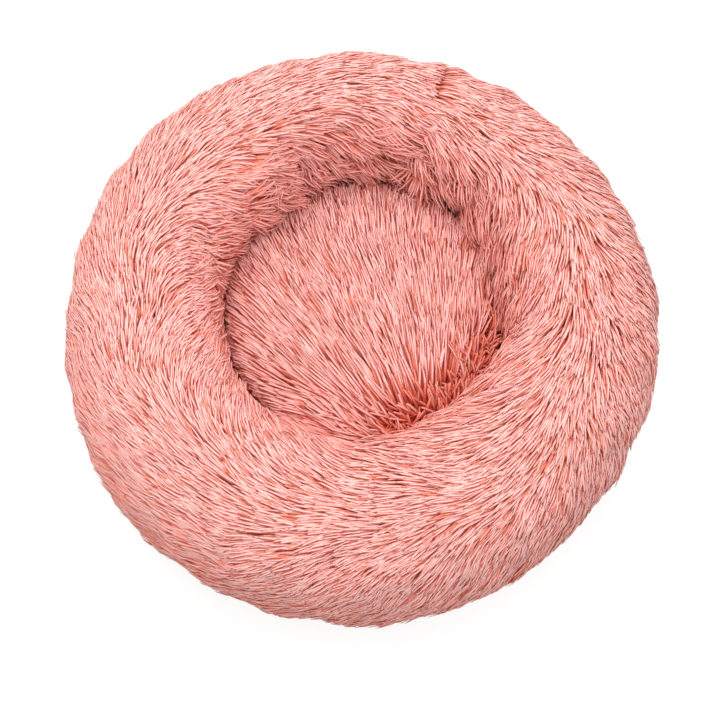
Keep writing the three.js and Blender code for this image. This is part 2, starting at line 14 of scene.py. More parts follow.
import bpy
import numpy as np
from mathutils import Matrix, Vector


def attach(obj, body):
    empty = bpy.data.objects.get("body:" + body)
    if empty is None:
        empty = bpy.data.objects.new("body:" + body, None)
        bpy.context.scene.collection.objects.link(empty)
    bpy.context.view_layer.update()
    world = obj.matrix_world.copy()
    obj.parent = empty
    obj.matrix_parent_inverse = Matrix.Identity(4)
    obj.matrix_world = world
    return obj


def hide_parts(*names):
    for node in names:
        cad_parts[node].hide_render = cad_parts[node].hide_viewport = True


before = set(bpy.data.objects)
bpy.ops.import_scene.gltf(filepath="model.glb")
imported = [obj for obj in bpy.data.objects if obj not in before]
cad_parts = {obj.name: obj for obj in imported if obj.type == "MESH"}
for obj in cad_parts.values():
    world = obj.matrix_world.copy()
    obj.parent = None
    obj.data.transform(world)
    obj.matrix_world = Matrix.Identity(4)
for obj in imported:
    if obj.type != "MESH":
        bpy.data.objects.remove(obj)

logging.basicConfig(level=logging.INFO, format="%(message)s")
log = logging.getLogger("pet_bed")

MM = 0.001
BODY = "bed"
PILE_MAP = "OFBake"  # the strands' own map: root to tip one way, the tone of a strand the other
TONES = 32  # tones of yarn
STRANDS_PER_PIECE = 7000
DEEPEST_FLICK = -0.8 * MM  # how far a strand's tip may dip
NEST_OFFSET = 31 * MM  # how far the nest lies behind the middle of the bed
SEAT_SEAM_HEIGHT = 47 * MM  # where both piles end in the seam between ring and seat
BEAD_SIDES = 8  # sides of a stitch or a dot

Points = np.ndarray
Number = Union["Link", float, int]
Colour = tuple[int, int, int]
Knots = tuple[tuple[float, float], ...]
Profile = tuple[tuple[float, float], ...]
Flow = Callable[..., tuple[Points, Points]]


class Panel(Enum):
    """The two fur panels of the ring."""

    LEFT = "left"
    RIGHT = "right"


class Side(Enum):
    """The two halves of the base, with the sign of Y."""

    FRONT = -1
    REAR = 1


# Shader nodes


def paint(red: int, green: int, blue: int) -> tuple[float, float, float, float]:
    """A display colour of 0 to 255 as the linear colour that a shader takes.

    Args:
        red: Red, 0 to 255.
        green: Green, 0 to 255.
        blue: Blue, 0 to 255.

    Returns:
        Linear red, green and blue, and an alpha of 1.
    """
    shares = [value / 255 for value in (red, green, blue)]
    linear = [s / 12.92 if s <= 0.04045 else ((s + 0.055) / 1.055) ** 2.4 for s in shares]
    return (*linear, 1.0)


class Link:
    """A node's output that Python's operators can work on."""

    def __init__(self, sheet: "NodeSheet", socket: bpy.types.NodeSocket) -> None:
        """Wraps a socket of a material.

        Args:
            sheet: The material's nodes.
            socket: The output socket.
        """
        self.sheet = sheet
        self.socket = socket

    def _math(self, operation: str, *values: Number) -> "Link":
        """Adds a Math node over the values and returns its output."""
        return self.sheet.add("ShaderNodeMath", {"operation": operation}, dict(enumerate(values)))

    def __add__(self, other: Number) -> "Link":
        """This plus another."""
        return self._math("ADD", self, other)

    def __radd__(self, other: Number) -> "Link":
        """Another plus this."""
        return self._math("ADD", other, self)

    def __sub__(self, other: Number) -> "Link":
        """This minus another."""
        return self._math("SUBTRACT", self, other)

    def __rsub__(self, other: Number) -> "Link":
        """Another minus this."""
        return self._math("SUBTRACT", other, self)

    def __mul__(self, other: Number) -> "Link":
        """This times another."""
        return self._math("MULTIPLY", self, other)

    def __rmul__(self, other: Number) -> "Link":
        """Another times this."""
        return self._math("MULTIPLY", other, self)

    def __truediv__(self, other: Number) -> "Link":
        """This over another."""
        return self._math("DIVIDE", self, other)

    def __rtruediv__(self, other: Number) -> "Link":
        """Another over this."""
        return self._math("DIVIDE", other, self)

    def sine(self) -> "Link":
        """The sine of this, in radians."""
        return self._math("SINE", self)

    def fraction(self) -> "Link":
        """The part of this after the point."""
        return self._math("FRACT", self)

    def above(self, edge: Number) -> "Link":
        """1 where this is over the edge, else 0."""
        return self._math("GREATER_THAN", self, edge)

    def smooth(self, low: float, high: float) -> "Link":
        """0 under low, 1 over high, and a smooth step between them.

        Args:
            low: The lower edge.
            high: The upper edge.

        Returns:
            The step.
        """
        return self.sheet.add(
            "ShaderNodeMapRange",
            {"interpolation_type": "SMOOTHSTEP"},
            {"Value": self, "From Min": low, "From Max": high},
        )


class NodeSheet:
    """The nodes of one material."""

    def __init__(self, name: str) -> None:
        """Makes the material with a Principled shader alone.

        Args:
            name: The material's name.
        """
        self.material = bpy.data.materials.new(name)
        self.material.use_nodes = True
        self.tree = self.material.node_tree
        self.tree.nodes.clear()
        self.shader = self.tree.nodes.new("ShaderNodeBsdfPrincipled")
        self.output = self.tree.nodes.new("ShaderNodeOutputMaterial")
        self.tree.links.new(self.shader.outputs[0], self.output.inputs["Surface"])

    def add(
        self,
        kind: str,
        settings: dict[str, object] | None = None,
        inputs: dict[Union[str, int], object] | None = None,
        output: Union[str, int] = 0,
    ) -> Link:
        """Adds one node.

        Args:
            kind: The node's type.
            settings: Its settings. stops are a ramp's (place, colour) pairs.
            inputs: A value or a Link for each socket named or numbered.
            output: The output wanted.

        Returns:
            The output as a Link.
        """
        node = self.tree.nodes.new(kind)
        for name, value in (settings or {}).items():
            if name == "stops":
                self._set_stops(node.color_ramp, value)
            else:
                setattr(node, name, value)
        for name, value in (inputs or {}).items():
            self.feed(node.inputs[name], value)
        return Link(self, node.outputs[output])

    def feed(self, socket: bpy.types.NodeSocket, value: object) -> None:
        """Links or sets a socket.

        Args:
            socket: The socket.
            value: A Link, or a value for the socket itself.
        """
        if isinstance(value, Link):
            self.tree.links.new(value.socket, socket)
        else:
            socket.default_value = value

    @staticmethod
    def _set_stops(
        ramp: bpy.types.ColorRamp, stops: Sequence[tuple[float, Sequence[float]]]
    ) -> None:
        """Gives a ramp its stops.

        Args:
            ramp: The ramp.
            stops: Each stop's place and colour.
        """
        while len(ramp.elements) < len(stops):
            ramp.elements.new(1.0)
        for element, (place, colour) in zip(ramp.elements, stops):
            element.position = place
            element.color = colour

    def ramp(self, value: Link, *stops: tuple[float, Sequence[float]]) -> Link:
        """The colour of a ramp at a value."""
        return self.add("ShaderNodeValToRGB", {"stops": stops}, {"Fac": value})

    def mixed(self, factor: Number, low: object, high: object) -> Link:
        """Two colours mixed by a factor."""
        return self.add("ShaderNodeMix", {"data_type": "RGBA"}, {0: factor, 6: low, 7: high}, 2)

    def spot(self) -> Link:
        """The place on the piece, in metres."""
        return self.add("ShaderNodeTexCoord", None, None, "Object")

    def scaled(self, vector: Link, size: Sequence[float]) -> Link:
        """A vector times a size along each axis."""
        return self.add("ShaderNodeVectorMath", {"operation": "MULTIPLY"}, {0: vector, 1: size})

    def axis(self, vector: Link, which: int) -> Link:
        """One axis of a vector."""
        return self.add("ShaderNodeSeparateXYZ", None, {0: vector}, which)

    def grain(self, vector: Link, scale: float, detail: float = 2.0) -> Link:
        """Noise from 0 to 1."""
        inputs = {"Vector": vector, "Scale": scale, "Detail": detail}
        return self.add("ShaderNodeTexNoise", None, inputs)

    def bump(self, height: Link, strength: float, distance: float) -> None:
        """Raises the surface by a height, through the shader's Normal.

        Args:
            height: The height, from 0 to 1.
            strength: How strongly it shows, from 0 to 1.
            distance: What a height of 1 stands for, in metres.
        """
        normal = self.add(
            "ShaderNodeBump",
            None,
            {"Height": height, "Strength": strength, "Distance": distance},
            "Normal",
        )
        self.feed(self.shader.inputs["Normal"], normal)

    def finish(self, **sockets: object) -> bpy.types.Material:
        """Feeds the shader's sockets, which ends the material.

        Args:
            **sockets: A value or a Link for each socket, its name's spaces written as underscores.

        Returns:
            The material.
        """
        for name, value in sockets.items():
            self.feed(self.shader.inputs[name.replace("_", " ")], value)
        return self.material


# Finishes


@dataclass(frozen=True)
class PileFinish:
    """Plush yarn, with painted shade at roots, flanks and low strands, and tones that vary at
    random.
    """

    name: str = "plush_pile"
    # Painted shade: root and deep make each strand darker and redder towards its root, deep in the
    # pile.
    root: Colour = (196, 52, 28)
    deep: Colour = (255, 128, 96)
    # Painted shade: the edge colour tints each strand's flanks, where it faces its neighbours.
    edge: Colour = (255, 122, 90)
    middle: Colour = (252, 206, 201)
    tip: Colour = (252, 207, 203)
    warm: Colour = (252, 187, 174)
    # Painted shade: the strands that lie low among the others take these darker, redder colours.
    shaded_middle: Colour = (226, 104, 74)
    shaded_tip: Colour = (248, 164, 142)
    deep_at: float = 0.27
    middle_at: float = 0.56
    shaded_middle_at: float = 0.45
    # Between these tones a strand turns from the painted shade of the low ones to the lit colours.
    shaded_tones: tuple[float, float] = (0.12, 0.62)
    flank_shade_band: tuple[float, float] = (0.33, 0.7)
    flank_shade_share: float = 0.88
    warm_share: float = 0.5
    fibre_share: float = 0.14
    roughness: float = 0.7
    sheen: float = 0.05
    sheen_tint: Colour = (255, 200, 190)

    def material(self) -> bpy.types.Material:
        """Makes the material, which reads only the strands' map.

        Returns:
            The material.
        """
        sheet = NodeSheet(self.name)
        place = sheet.add("ShaderNodeUVMap", {"uv_map": PILE_MAP})
        along, band = sheet.axis(place, 0), sheet.axis(place, 1) * TONES
        across = band.fraction()
        tone = (band - across) / (TONES - 1)
        root, tip = (0.0, paint(*self.root)), paint(*self.tip)
        deep, middle = (self.deep_at, paint(*self.deep)), (self.middle_at, paint(*self.middle))
        shaded_middle = (self.shaded_middle_at, paint(*self.shaded_middle))
        # Painted shade along each strand: darker and redder from the middle down to the root.
        top = sheet.ramp(along, root, deep, middle, (1.0, tip))
        # Painted shade for the strands that lie low: a darker, redder ramp.
        low = sheet.ramp(along, root, shaded_middle, (1.0, paint(*self.shaded_tip)))
        lock = sheet.grain(sheet.scaled(place, (0.0, 41.0, 0.0)), 1.0, 0.0)
        warmed = sheet.mixed(lock.smooth(0.45, 0.8) * self.warm_share, top, paint(*self.warm))
        colour = sheet.mixed(tone.smooth(*self.shaded_tones), low, warmed)
        # Painted shade on each strand's flanks, where it faces its neighbours.
        flank = across.smooth(*self.flank_shade_band) * self.flank_shade_share
        colour = sheet.mixed(flank, colour, paint(*self.edge))
        fibre = sheet.grain(sheet.scaled(place, (5.0, 260.0, 0.0)), 1.0, 2.0)
        colour = sheet.mixed(fibre.smooth(0.35, 0.7) * self.fibre_share, colour, tip)
        sheet.bump(fibre, 0.35, 0.4 * MM)
        return sheet.finish(
            Base_Color=colour,
            Roughness=self.roughness + fibre * 0.12,
            Sheen_Weight=self.sheen,
            Sheen_Roughness=0.45,
            Sheen_Tint=paint(*self.sheen_tint),
            Specular_IOR_Level=0.12,
        )


@dataclass(frozen=True)
class KnitFinish:
    """A warp knit or plain weave cloth, its threads drawn along two axes of the piece."""

    name: str
    colour: Colour
    shade: Colour
    pitch: float = 1.2 * MM
    roughness: float = 0.86
    sheen: float = 0.2
    relief: float = 0.25 * MM

    def material(self) -> bpy.types.Material:
        """Makes the material from crossing waves of thread, clouds and fuzz.

        Returns:
            The material.
        """
        sheet = NodeSheet(self.name)
        place = sheet.spot()
        turns = 2 * math.pi / self.pitch
        over = (sheet.axis(place, 0) * turns).sine()
        under = (sheet.axis(place, 1) * turns).sine()
        rise = (sheet.axis(place, 2) * turns).sine()
        weave = (over * under + rise * 0.5).smooth(-1.0, 1.0)
        cloud = sheet.grain(place, 38.0, 4.0)
        fuzz = sheet.grain(place, 900.0, 2.0)
        amount = weave * 0.55 + cloud * 0.3 + fuzz * 0.15
        colour = sheet.mixed(amount, paint(*self.shade), paint(*self.colour))
        sheet.bump(weave * 0.8 + fuzz * 0.2, 0.6, self.relief)
        return sheet.finish(
            Base_Color=colour,
            Roughness=self.roughness + fuzz * 0.1,
            Sheen_Weight=self.sheen,
        )


@dataclass(frozen=True)
class FibreFinish:
    """Loose siliconised fibre: white, cloudy and soft."""

    name: str = "hollow_fibre"
    colour: Colour = (252, 252, 249)
    shade: Colour = (226, 224, 220)

    def material(self) -> bpy.types.Material:
        """Makes the material from clouds and fine drawn-out hairs.

        Returns:
            The material.
        """
        sheet = NodeSheet(self.name)
        place = sheet.spot()
        cloud = sheet.grain(place, 60.0, 6.0)
        hair = sheet.grain(sheet.scaled(place, (1.0, 6.0, 2.0)), 240.0, 3.0)
        colour = sheet.mixed(cloud * 0.6 + hair * 0.4, paint(*self.shade), paint(*self.colour))
        sheet.bump(cloud * 0.7 + hair * 0.3, 0.7, 2.5 * MM)
        return sheet.finish(Base_Color=colour, Roughness=0.9 + hair * 0.08, Sheen_Weight=0.4)


@dataclass(frozen=True)
class PlasticFinish:
    """Moulded plastic with a faint mould texture."""

    name: str
    colour: Colour
    shade: Colour
    roughness: float = 0.38

    def material(self) -> bpy.types.Material:
        """Makes the material from a fine grain and soft clouds.

        Returns:
            The material.
        """
        sheet = NodeSheet(self.name)
        place = sheet.spot()
        grain = sheet.grain(place, 1400.0, 3.0)
        cloud = sheet.grain(place, 90.0, 2.0)
        colour = sheet.mixed(cloud * 0.6 + grain * 0.4, paint(*self.shade), paint(*self.colour))
        sheet.bump(grain, 0.2, 0.05 * MM)
        return sheet.finish(Base_Color=colour, Roughness=self.roughness + grain * 0.14)


@dataclass(frozen=True)
class MetalFinish:
    """Plated zinc, brushed along X, a little dull where fingers rub it."""

    name: str = "plated_zinc"
    colour: Colour = (196, 190, 182)
    shade: Colour = (150, 144, 136)

    def material(self) -> bpy.types.Material:
        """Makes the material from brush marks and worn patches.

        Returns:
            The material.
        """
        sheet = NodeSheet(self.name)
        place = sheet.spot()
        brush = sheet.grain(sheet.scaled(place, (1.0, 24.0, 24.0)), 420.0, 3.0)
        wear = sheet.grain(place, 260.0, 3.0)
        colour = sheet.mixed(wear * 0.7 + brush * 0.3, paint(*self.shade), paint(*self.colour))
        sheet.bump(brush, 0.15, 0.04 * MM)
        return sheet.finish(
            Base_Color=colour,
            Metallic=0.95,
            Roughness=0.24 + brush * 0.14 + wear.smooth(0.45, 0.75) * 0.14,
        )


# Meshes


def add_mesh(
    name: str,
    corners: Points,
    loops: Points,
    sizes: Points,
    material: bpy.types.Material,
    smooth: bool = True,
) -> bpy.types.Object:
    """Makes an object from arrays.

    Args:
        name: The piece's name.
        corners: Its vertices, one row each.
        loops: Its faces' vertex numbers, one face after another.
        sizes: How many corners each face has.
        material: Its finish.
        smooth: Whether its faces are shaded smooth.

    Returns:
        The object, at the origin and in the scene.
    """
    mesh = bpy.data.meshes.new(name)
    mesh.vertices.add(len(corners))
    mesh.vertices.foreach_set("co", np.asarray(corners, np.float32).ravel())
    mesh.loops.add(len(loops))
    mesh.loops.foreach_set("vertex_index", np.asarray(loops, np.int32))
    mesh.polygons.add(len(sizes))
    starts = np.concatenate([[0], np.cumsum(sizes)[:-1]]).astype(np.int32)
    mesh.polygons.foreach_set("loop_start", starts)
    mesh.polygons.foreach_set("use_smooth", np.full(len(sizes), smooth))
    mesh.update(calc_edges=True)
    mesh.materials.append(material)
    piece = bpy.data.objects.new(name, mesh)
    bpy.context.scene.collection.objects.link(piece)
    return piece


def seat_piece(piece: bpy.types.Object, replaced: Iterable[str] = ()) -> None:
    """Puts a piece on the bed, in its nodes' place.

    Args:
        piece: The piece.
        replaced: The nodes whose place it takes.
    """
    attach(piece, BODY)
    for node in replaced:
        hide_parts(node)
    log.info("%s: %d faces", piece.name, len(piece.data.polygons))


def grid_faces(rows: int, columns: int, wraps_rows: bool) -> Points:
    """The quads of a grid of vertices, row after row. The last column joins the first.

    Args:
        rows: Rows of vertices.
        columns: Vertices in a row.
        wraps_rows: Whether the last row joins the first.

    Returns:
        An array with four vertex numbers in each row.
    """
    row = np.arange(rows if wraps_rows else rows - 1)
    row, column = (a.ravel() for a in np.meshgrid(row, np.arange(columns), indexing="ij"))
    up, right = (row + 1) % rows, (column + 1) % columns
    here, above = row * columns, up * columns
    return np.stack([here + column, here + right, above + right, above + column], axis=1)


def add_grid(
    name: str,
    grid: Points,
    material: bpy.types.Material,
    wraps_rows: bool = True,
) -> bpy.types.Object:
    """Makes a piece from a grid of points. Open rows are capped, so the piece is closed.

    Args:
        name: The piece's name.
        grid: Points, rows by columns by 3.
        material: Its finish.
        wraps_rows: Whether the last row joins the first.

    Returns:
        The object.
    """
    rows, columns = grid.shape[:2]
    if wraps_rows:
        faces = grid_faces(rows, columns, True)
        loops, sizes = faces.ravel(), np.full(len(faces), 4)
    else:
        loops, sizes = tube_faces(rows, columns)
    return add_mesh(name, grid.reshape(-1, 3), loops, sizes, material)


def tube_faces(rows: int, columns: int) -> tuple[Points, Points]:
    """The faces of a tube of rings with a cap at each end.

    Args:
        rows: How many rings.
        columns: Vertices in a ring.

    Returns:
        The faces' vertex numbers, and how many corners each face has.
    """
    sides = grid_faces(rows, columns, False)
    first = np.arange(columns)[::-1]
    last = (rows - 1) * columns + np.arange(columns)
    sizes = np.concatenate([np.full(len(sides), 4), [columns, columns]])
    return np.concatenate([sides.ravel(), first, last]), sizes


def cloth_grid(low: Points, thickness: float) -> Points:
    """Closes a cloth: its lower face runs along each row, and its upper one back.

    Args:
        low: The lower face's points, rows by columns by 3.
        thickness: The cloth's thickness.

    Returns:
        The points of both faces, row by row.
    """
    high = low[:, ::-1].copy()
    high[..., 2] += thickness
    return np.concatenate([low, high], axis=1)


def add_beads(
    name: str,
    places: Points,
    axes: Points,
    profile: Profile,
    material: bpy.types.Material,
) -> bpy.types.Object:
    """Makes one piece of many small turned shapes, such as dots or stitches.

    Args:
        name: The piece's name.
        places: Where each shape is.
        axes: The way that each one's axis points.
        profile: The shape as lengths along the axis and radii there, in millimetres.
        material: Its finish.

    Returns:
        The object.
    """
    axes = unit(np.broadcast_to(axes, places.shape))
    upright = np.abs(axes[:, 2:]) > 0.9
    helper = np.where(upright, [[1.0, 0.0, 0.0]], [[0.0, 0.0, 1.0]])
    across = unit(np.cross(axes, helper))
    other = np.cross(axes, across)
    turn = np.linspace(0, 2 * math.pi, BEAD_SIDES, endpoint=False)
    spoke = across[:, None] * np.cos(turn)[:, None] + other[:, None] * np.sin(turn)[:, None]
    middle, axis = places[:, None], axes[:, None]
    rings = [middle + axis * along * MM + spoke * radius * MM for along, radius in profile]
    corners = np.stack(rings, axis=1)
    loops, sizes = tube_faces(len(profile), BEAD_SIDES)
    total = len(profile) * BEAD_SIDES
    loops = (loops[None] + (np.arange(len(places)) * total)[:, None]).ravel()
    return add_mesh(name, corners.reshape(-1, 3), loops, np.tile(sizes, len(places)), material)


def stitched(path: Points, pitch: float) -> tuple[Points, Points]:
    """Places at even steps along a path, and the way it runs at each.

    Args:
        path: The path's points, one row each.
        pitch: The step.

    Returns:
        The places, and the directions there.
    """
    steps = np.linalg.norm(np.diff(path, axis=0), axis=1)
    lengths = np.concatenate([[0.0], np.cumsum(steps)])
    spots = np.arange(pitch / 2, lengths[-1], pitch)
    ends = [
        np.stack([np.interp(spots + off, lengths, path[:, axis]) for axis in range(3)], axis=-1)
        for off in (-pitch / 4, pitch / 4)
    ]
    return (ends[0] + ends[1]) / 2, unit(ends[1] - ends[0])


def unit(vectors: Points) -> Points:
    """Vectors scaled to a length of 1."""
    return vectors / np.maximum(np.linalg.norm(vectors, axis=-1, keepdims=True), 1e-12)


def blend_step(values: Points, low: float, high: float) -> Points:
    """0 under low, 1 over high and a smooth step between them."""
    share = np.clip((values - low) / (high - low), 0.0, 1.0)
    return share * share * (3 - 2 * share)


@dataclass(frozen=True)
class Ripples:
    """Smooth noise of about unit spread: a sum of seeded plane waves."""

    seed: int
    wavelengths: tuple[float, ...]
    count: int = 14

    def at(self, places: Points) -> Points:
        """The noise at each place.

        Args:
            places: Points, with as many axes as there are wavelengths.

        Returns:
            One value for each place.
        """
        draw = np.random.default_rng(self.seed)
        waves = draw.normal(size=(self.count, len(self.wavelengths)))
        waves *= 2 * math.pi / np.array(self.wavelengths) / math.sqrt(len(self.wavelengths))
        phases = draw.uniform(0, 2 * math.pi, self.count)
        return np.sin(places @ waves.T + phases).sum(-1) * math.sqrt(2 / self.count)


def swell(seed: int, size: float, places: Points) -> Points:
    """Smooth noise at places, with one wavelength along all axes.

    Args:
        seed: Seed of the noise.
        size: The wavelength in millimetres.
        places: Points.

    Returns:
        One value for each place.
    """
    return Ripples(seed, (size * MM,) * places.shape[-1]).at(places)


# Surfaces that carry pile


@dataclass(frozen=True)
class Basis:
    """Where a surface is at two parameters, how fast it runs along each and where it faces."""

    place: Points
    speed_u: Points
    speed_v: Points
    outward: Points


class PileSurface:
    """The outer surface of the pile on one part of the bed, over two parameters."""

    nudge: float = 1e-4

    def point(self, u: Points, v: Points) -> Points:
        """The surface's points."""
        raise NotImplementedError

    def basis(self, u: Points, v: Points) -> Basis:
        """The surface's points, speeds and outward directions.

        Args:
            u: First parameters.
            v: Second parameters.

        Returns:
            The surface at each pair of them.
        """
        step = self.nudge
        du = (self.point(u + step, v) - self.point(u - step, v)) / (2 * step)
        dv = (self.point(u, v + step) - self.point(u, v - step)) / (2 * step)
        speed_u = np.maximum(np.linalg.norm(du, axis=-1), 1e-9)
        speed_v = np.maximum(np.linalg.norm(dv, axis=-1), 1e-9)
        return Basis(self.point(u, v), speed_u, speed_v, unit(np.cross(du, dv)))

    def rise(self, u: Points, v: Points) -> Points:
        """How far the pile's lumps rise at the places: not at all, unless a surface says so."""
        return np.zeros_like(u)

    def under(self, u: Points, v: Points, inset: float) -> Points:
        """Points that lie inset below the surface."""
        here = self.basis(u, v)
        return here.place - here.outward * inset


@dataclass(frozen=True)
class RingSurface(PileSurface):
    """The ring's pile. u is the angle round the bed, v the angle round the section from outside."""

    outer_radius: float = 296 * MM
    crest_height: float = 190 * MM
    sag: float = 8 * MM
    nest_radius: float = 142 * MM
    nest_offset: float = NEST_OFFSET
    power: float = 2.4
    outline_waves: tuple[tuple[int, float, float], ...] = (
        (1, 0.0107, 160),
        (2, 0.0095, 5),
        (3, 0.007, 22),
        (5, 0.004, 335),
    )
    tuft_spacing: float = 50 * MM
    tuft_height: float = 0.9 * MM
    tuft_fade: float = 60.0
    tuft_waves: tuple[tuple[float, float, float, float], ...] = (
        (0.9, 0.3, 0.31, 0.0),
        (-0.35, 0.9, 0.25, 0.3),
        (0.5, -0.7, 0.5, 0.6),
        (0.55, 0.55, -0.63, 0.15),
    )

    @property
    def middle_height(self) -> float:
        """Height of the section's middle."""
        return (self.crest_height - self.sag) / 2

    @property
    def half_height(self) -> float:
        """Half the section's full height."""
        return (self.crest_height + self.sag) / 2

    def wall(self, theta: Points) -> Points:
        """Radius of the nest's wall from the middle of the bed."""
        across = self.nest_offset * np.cos(theta)
        return self.nest_offset * np.sin(theta) + np.sqrt(self.nest_radius**2 - across**2)

    def outside(self, theta: Points) -> Points:
        """Radius of the outline, with its waves.

        Args:
            theta: Angles round the bed.

        Returns:
            A radius for each angle.
        """
        waves = sum(
            share * np.cos(count * theta - math.radians(crest))
            for count, share, crest in self.outline_waves
        )
        return self.outer_radius * (1 + waves)

    def section(self, theta: Points) -> tuple[Points, Points]:
        """Radius of the section's middle, and half its width."""
        outside, wall = self.outside(theta), self.wall(theta)
        return (outside + wall) / 2, (outside - wall) / 2

    def point(self, u: Points, v: Points) -> Points:
        """Points at angles round the bed and round the section.

        Args:
            u: Angles round the bed.
            v: Angles round the section.

        Returns:
            The points.
        """
        middle, half = self.section(u)
        cosine, sine = np.cos(v), np.sin(v)
        reach = (np.abs(cosine) ** self.power + np.abs(sine) ** self.power) ** (-1 / self.power)
        radius = middle + half * reach * cosine
        height = self.middle_height + self.half_height * reach * sine
        return np.stack([radius * np.cos(u), radius * np.sin(u), height], axis=-1)

    def rise(self, u: Points, v: Points) -> Points:
        """How far the lumps of the lying pile rise: plane waves that fade down into the nest.

        Args:
            u: Angles round the bed.
            v: Angles round the section.

        Returns:
            A height over the surface for each.
        """
        place = self.point(u, v)
        waves = sum(
            np.sin(2 * math.pi * (place @ np.array(wave[:3]) / self.tuft_spacing + wave[3]))
            for wave in self.tuft_waves
        )
        return self.tuft_height * waves * np.clip((180 - np.degrees(v)) / self.tuft_fade, 0, 1)

    def angle_at(self, height: float, inside: bool) -> float:
        """The angle round the section, below its middle, at which it has a height.

        Args:
            height: The height above the floor.
            inside: Whether it is on the nest's side.

        Returns:
            The angle.
        """
        drop = (self.middle_height - height) / self.half_height
        across = (1 - drop**self.power) ** (1 / self.power)
        angle = math.atan2(drop, across)
        return math.pi + angle if inside else -angle


@dataclass(frozen=True)
class SeatSurface(PileSurface):
    """The seat's pile as a crowned disc. u and v are X and Y from the middle of the nest."""

    radius: float = 145 * MM
    hip_height: float = 66 * MM
    crown_height: float = 96 * MM
    power: float = 3.2
    nest_offset: float = NEST_OFFSET
    most_share: float = 0.985

    def point(self, u: Points, v: Points) -> Points:
        """Points over the disc, and straight down its side past the edge.

        Args:
            u: Lengths along X from the middle of the nest.
            v: Lengths along Y from there.

        Returns:
            The points.
        """
        reach = np.maximum(np.hypot(u, v), 1e-9)
        edge = self.most_share * self.radius
        share = np.minimum(reach, edge) / self.radius
        scale = share * self.radius / reach
        rise = (1 - share**self.power) ** (1 / self.power)
        height = self.hip_height + (self.crown_height - self.hip_height) * rise
        height = height - np.maximum(reach - edge, 0)
        return np.stack([u * scale, v * scale + self.nest_offset, height], axis=-1)


# Pile


@dataclass
class StrandPlan:
    """How each strand of a batch grows. All are arrays with a value for each strand."""

    u: Points
    v: Points
    length: Points
    lift: Points
    flick: Points
    turn: Points
    bend: Points
    width: Points
    tone: Points

    def chosen(self, which: Points) -> "StrandPlan":
        """The plan of some of the strands."""
        return StrandPlan(**{name: value[which] for name, value in vars(self).items()})


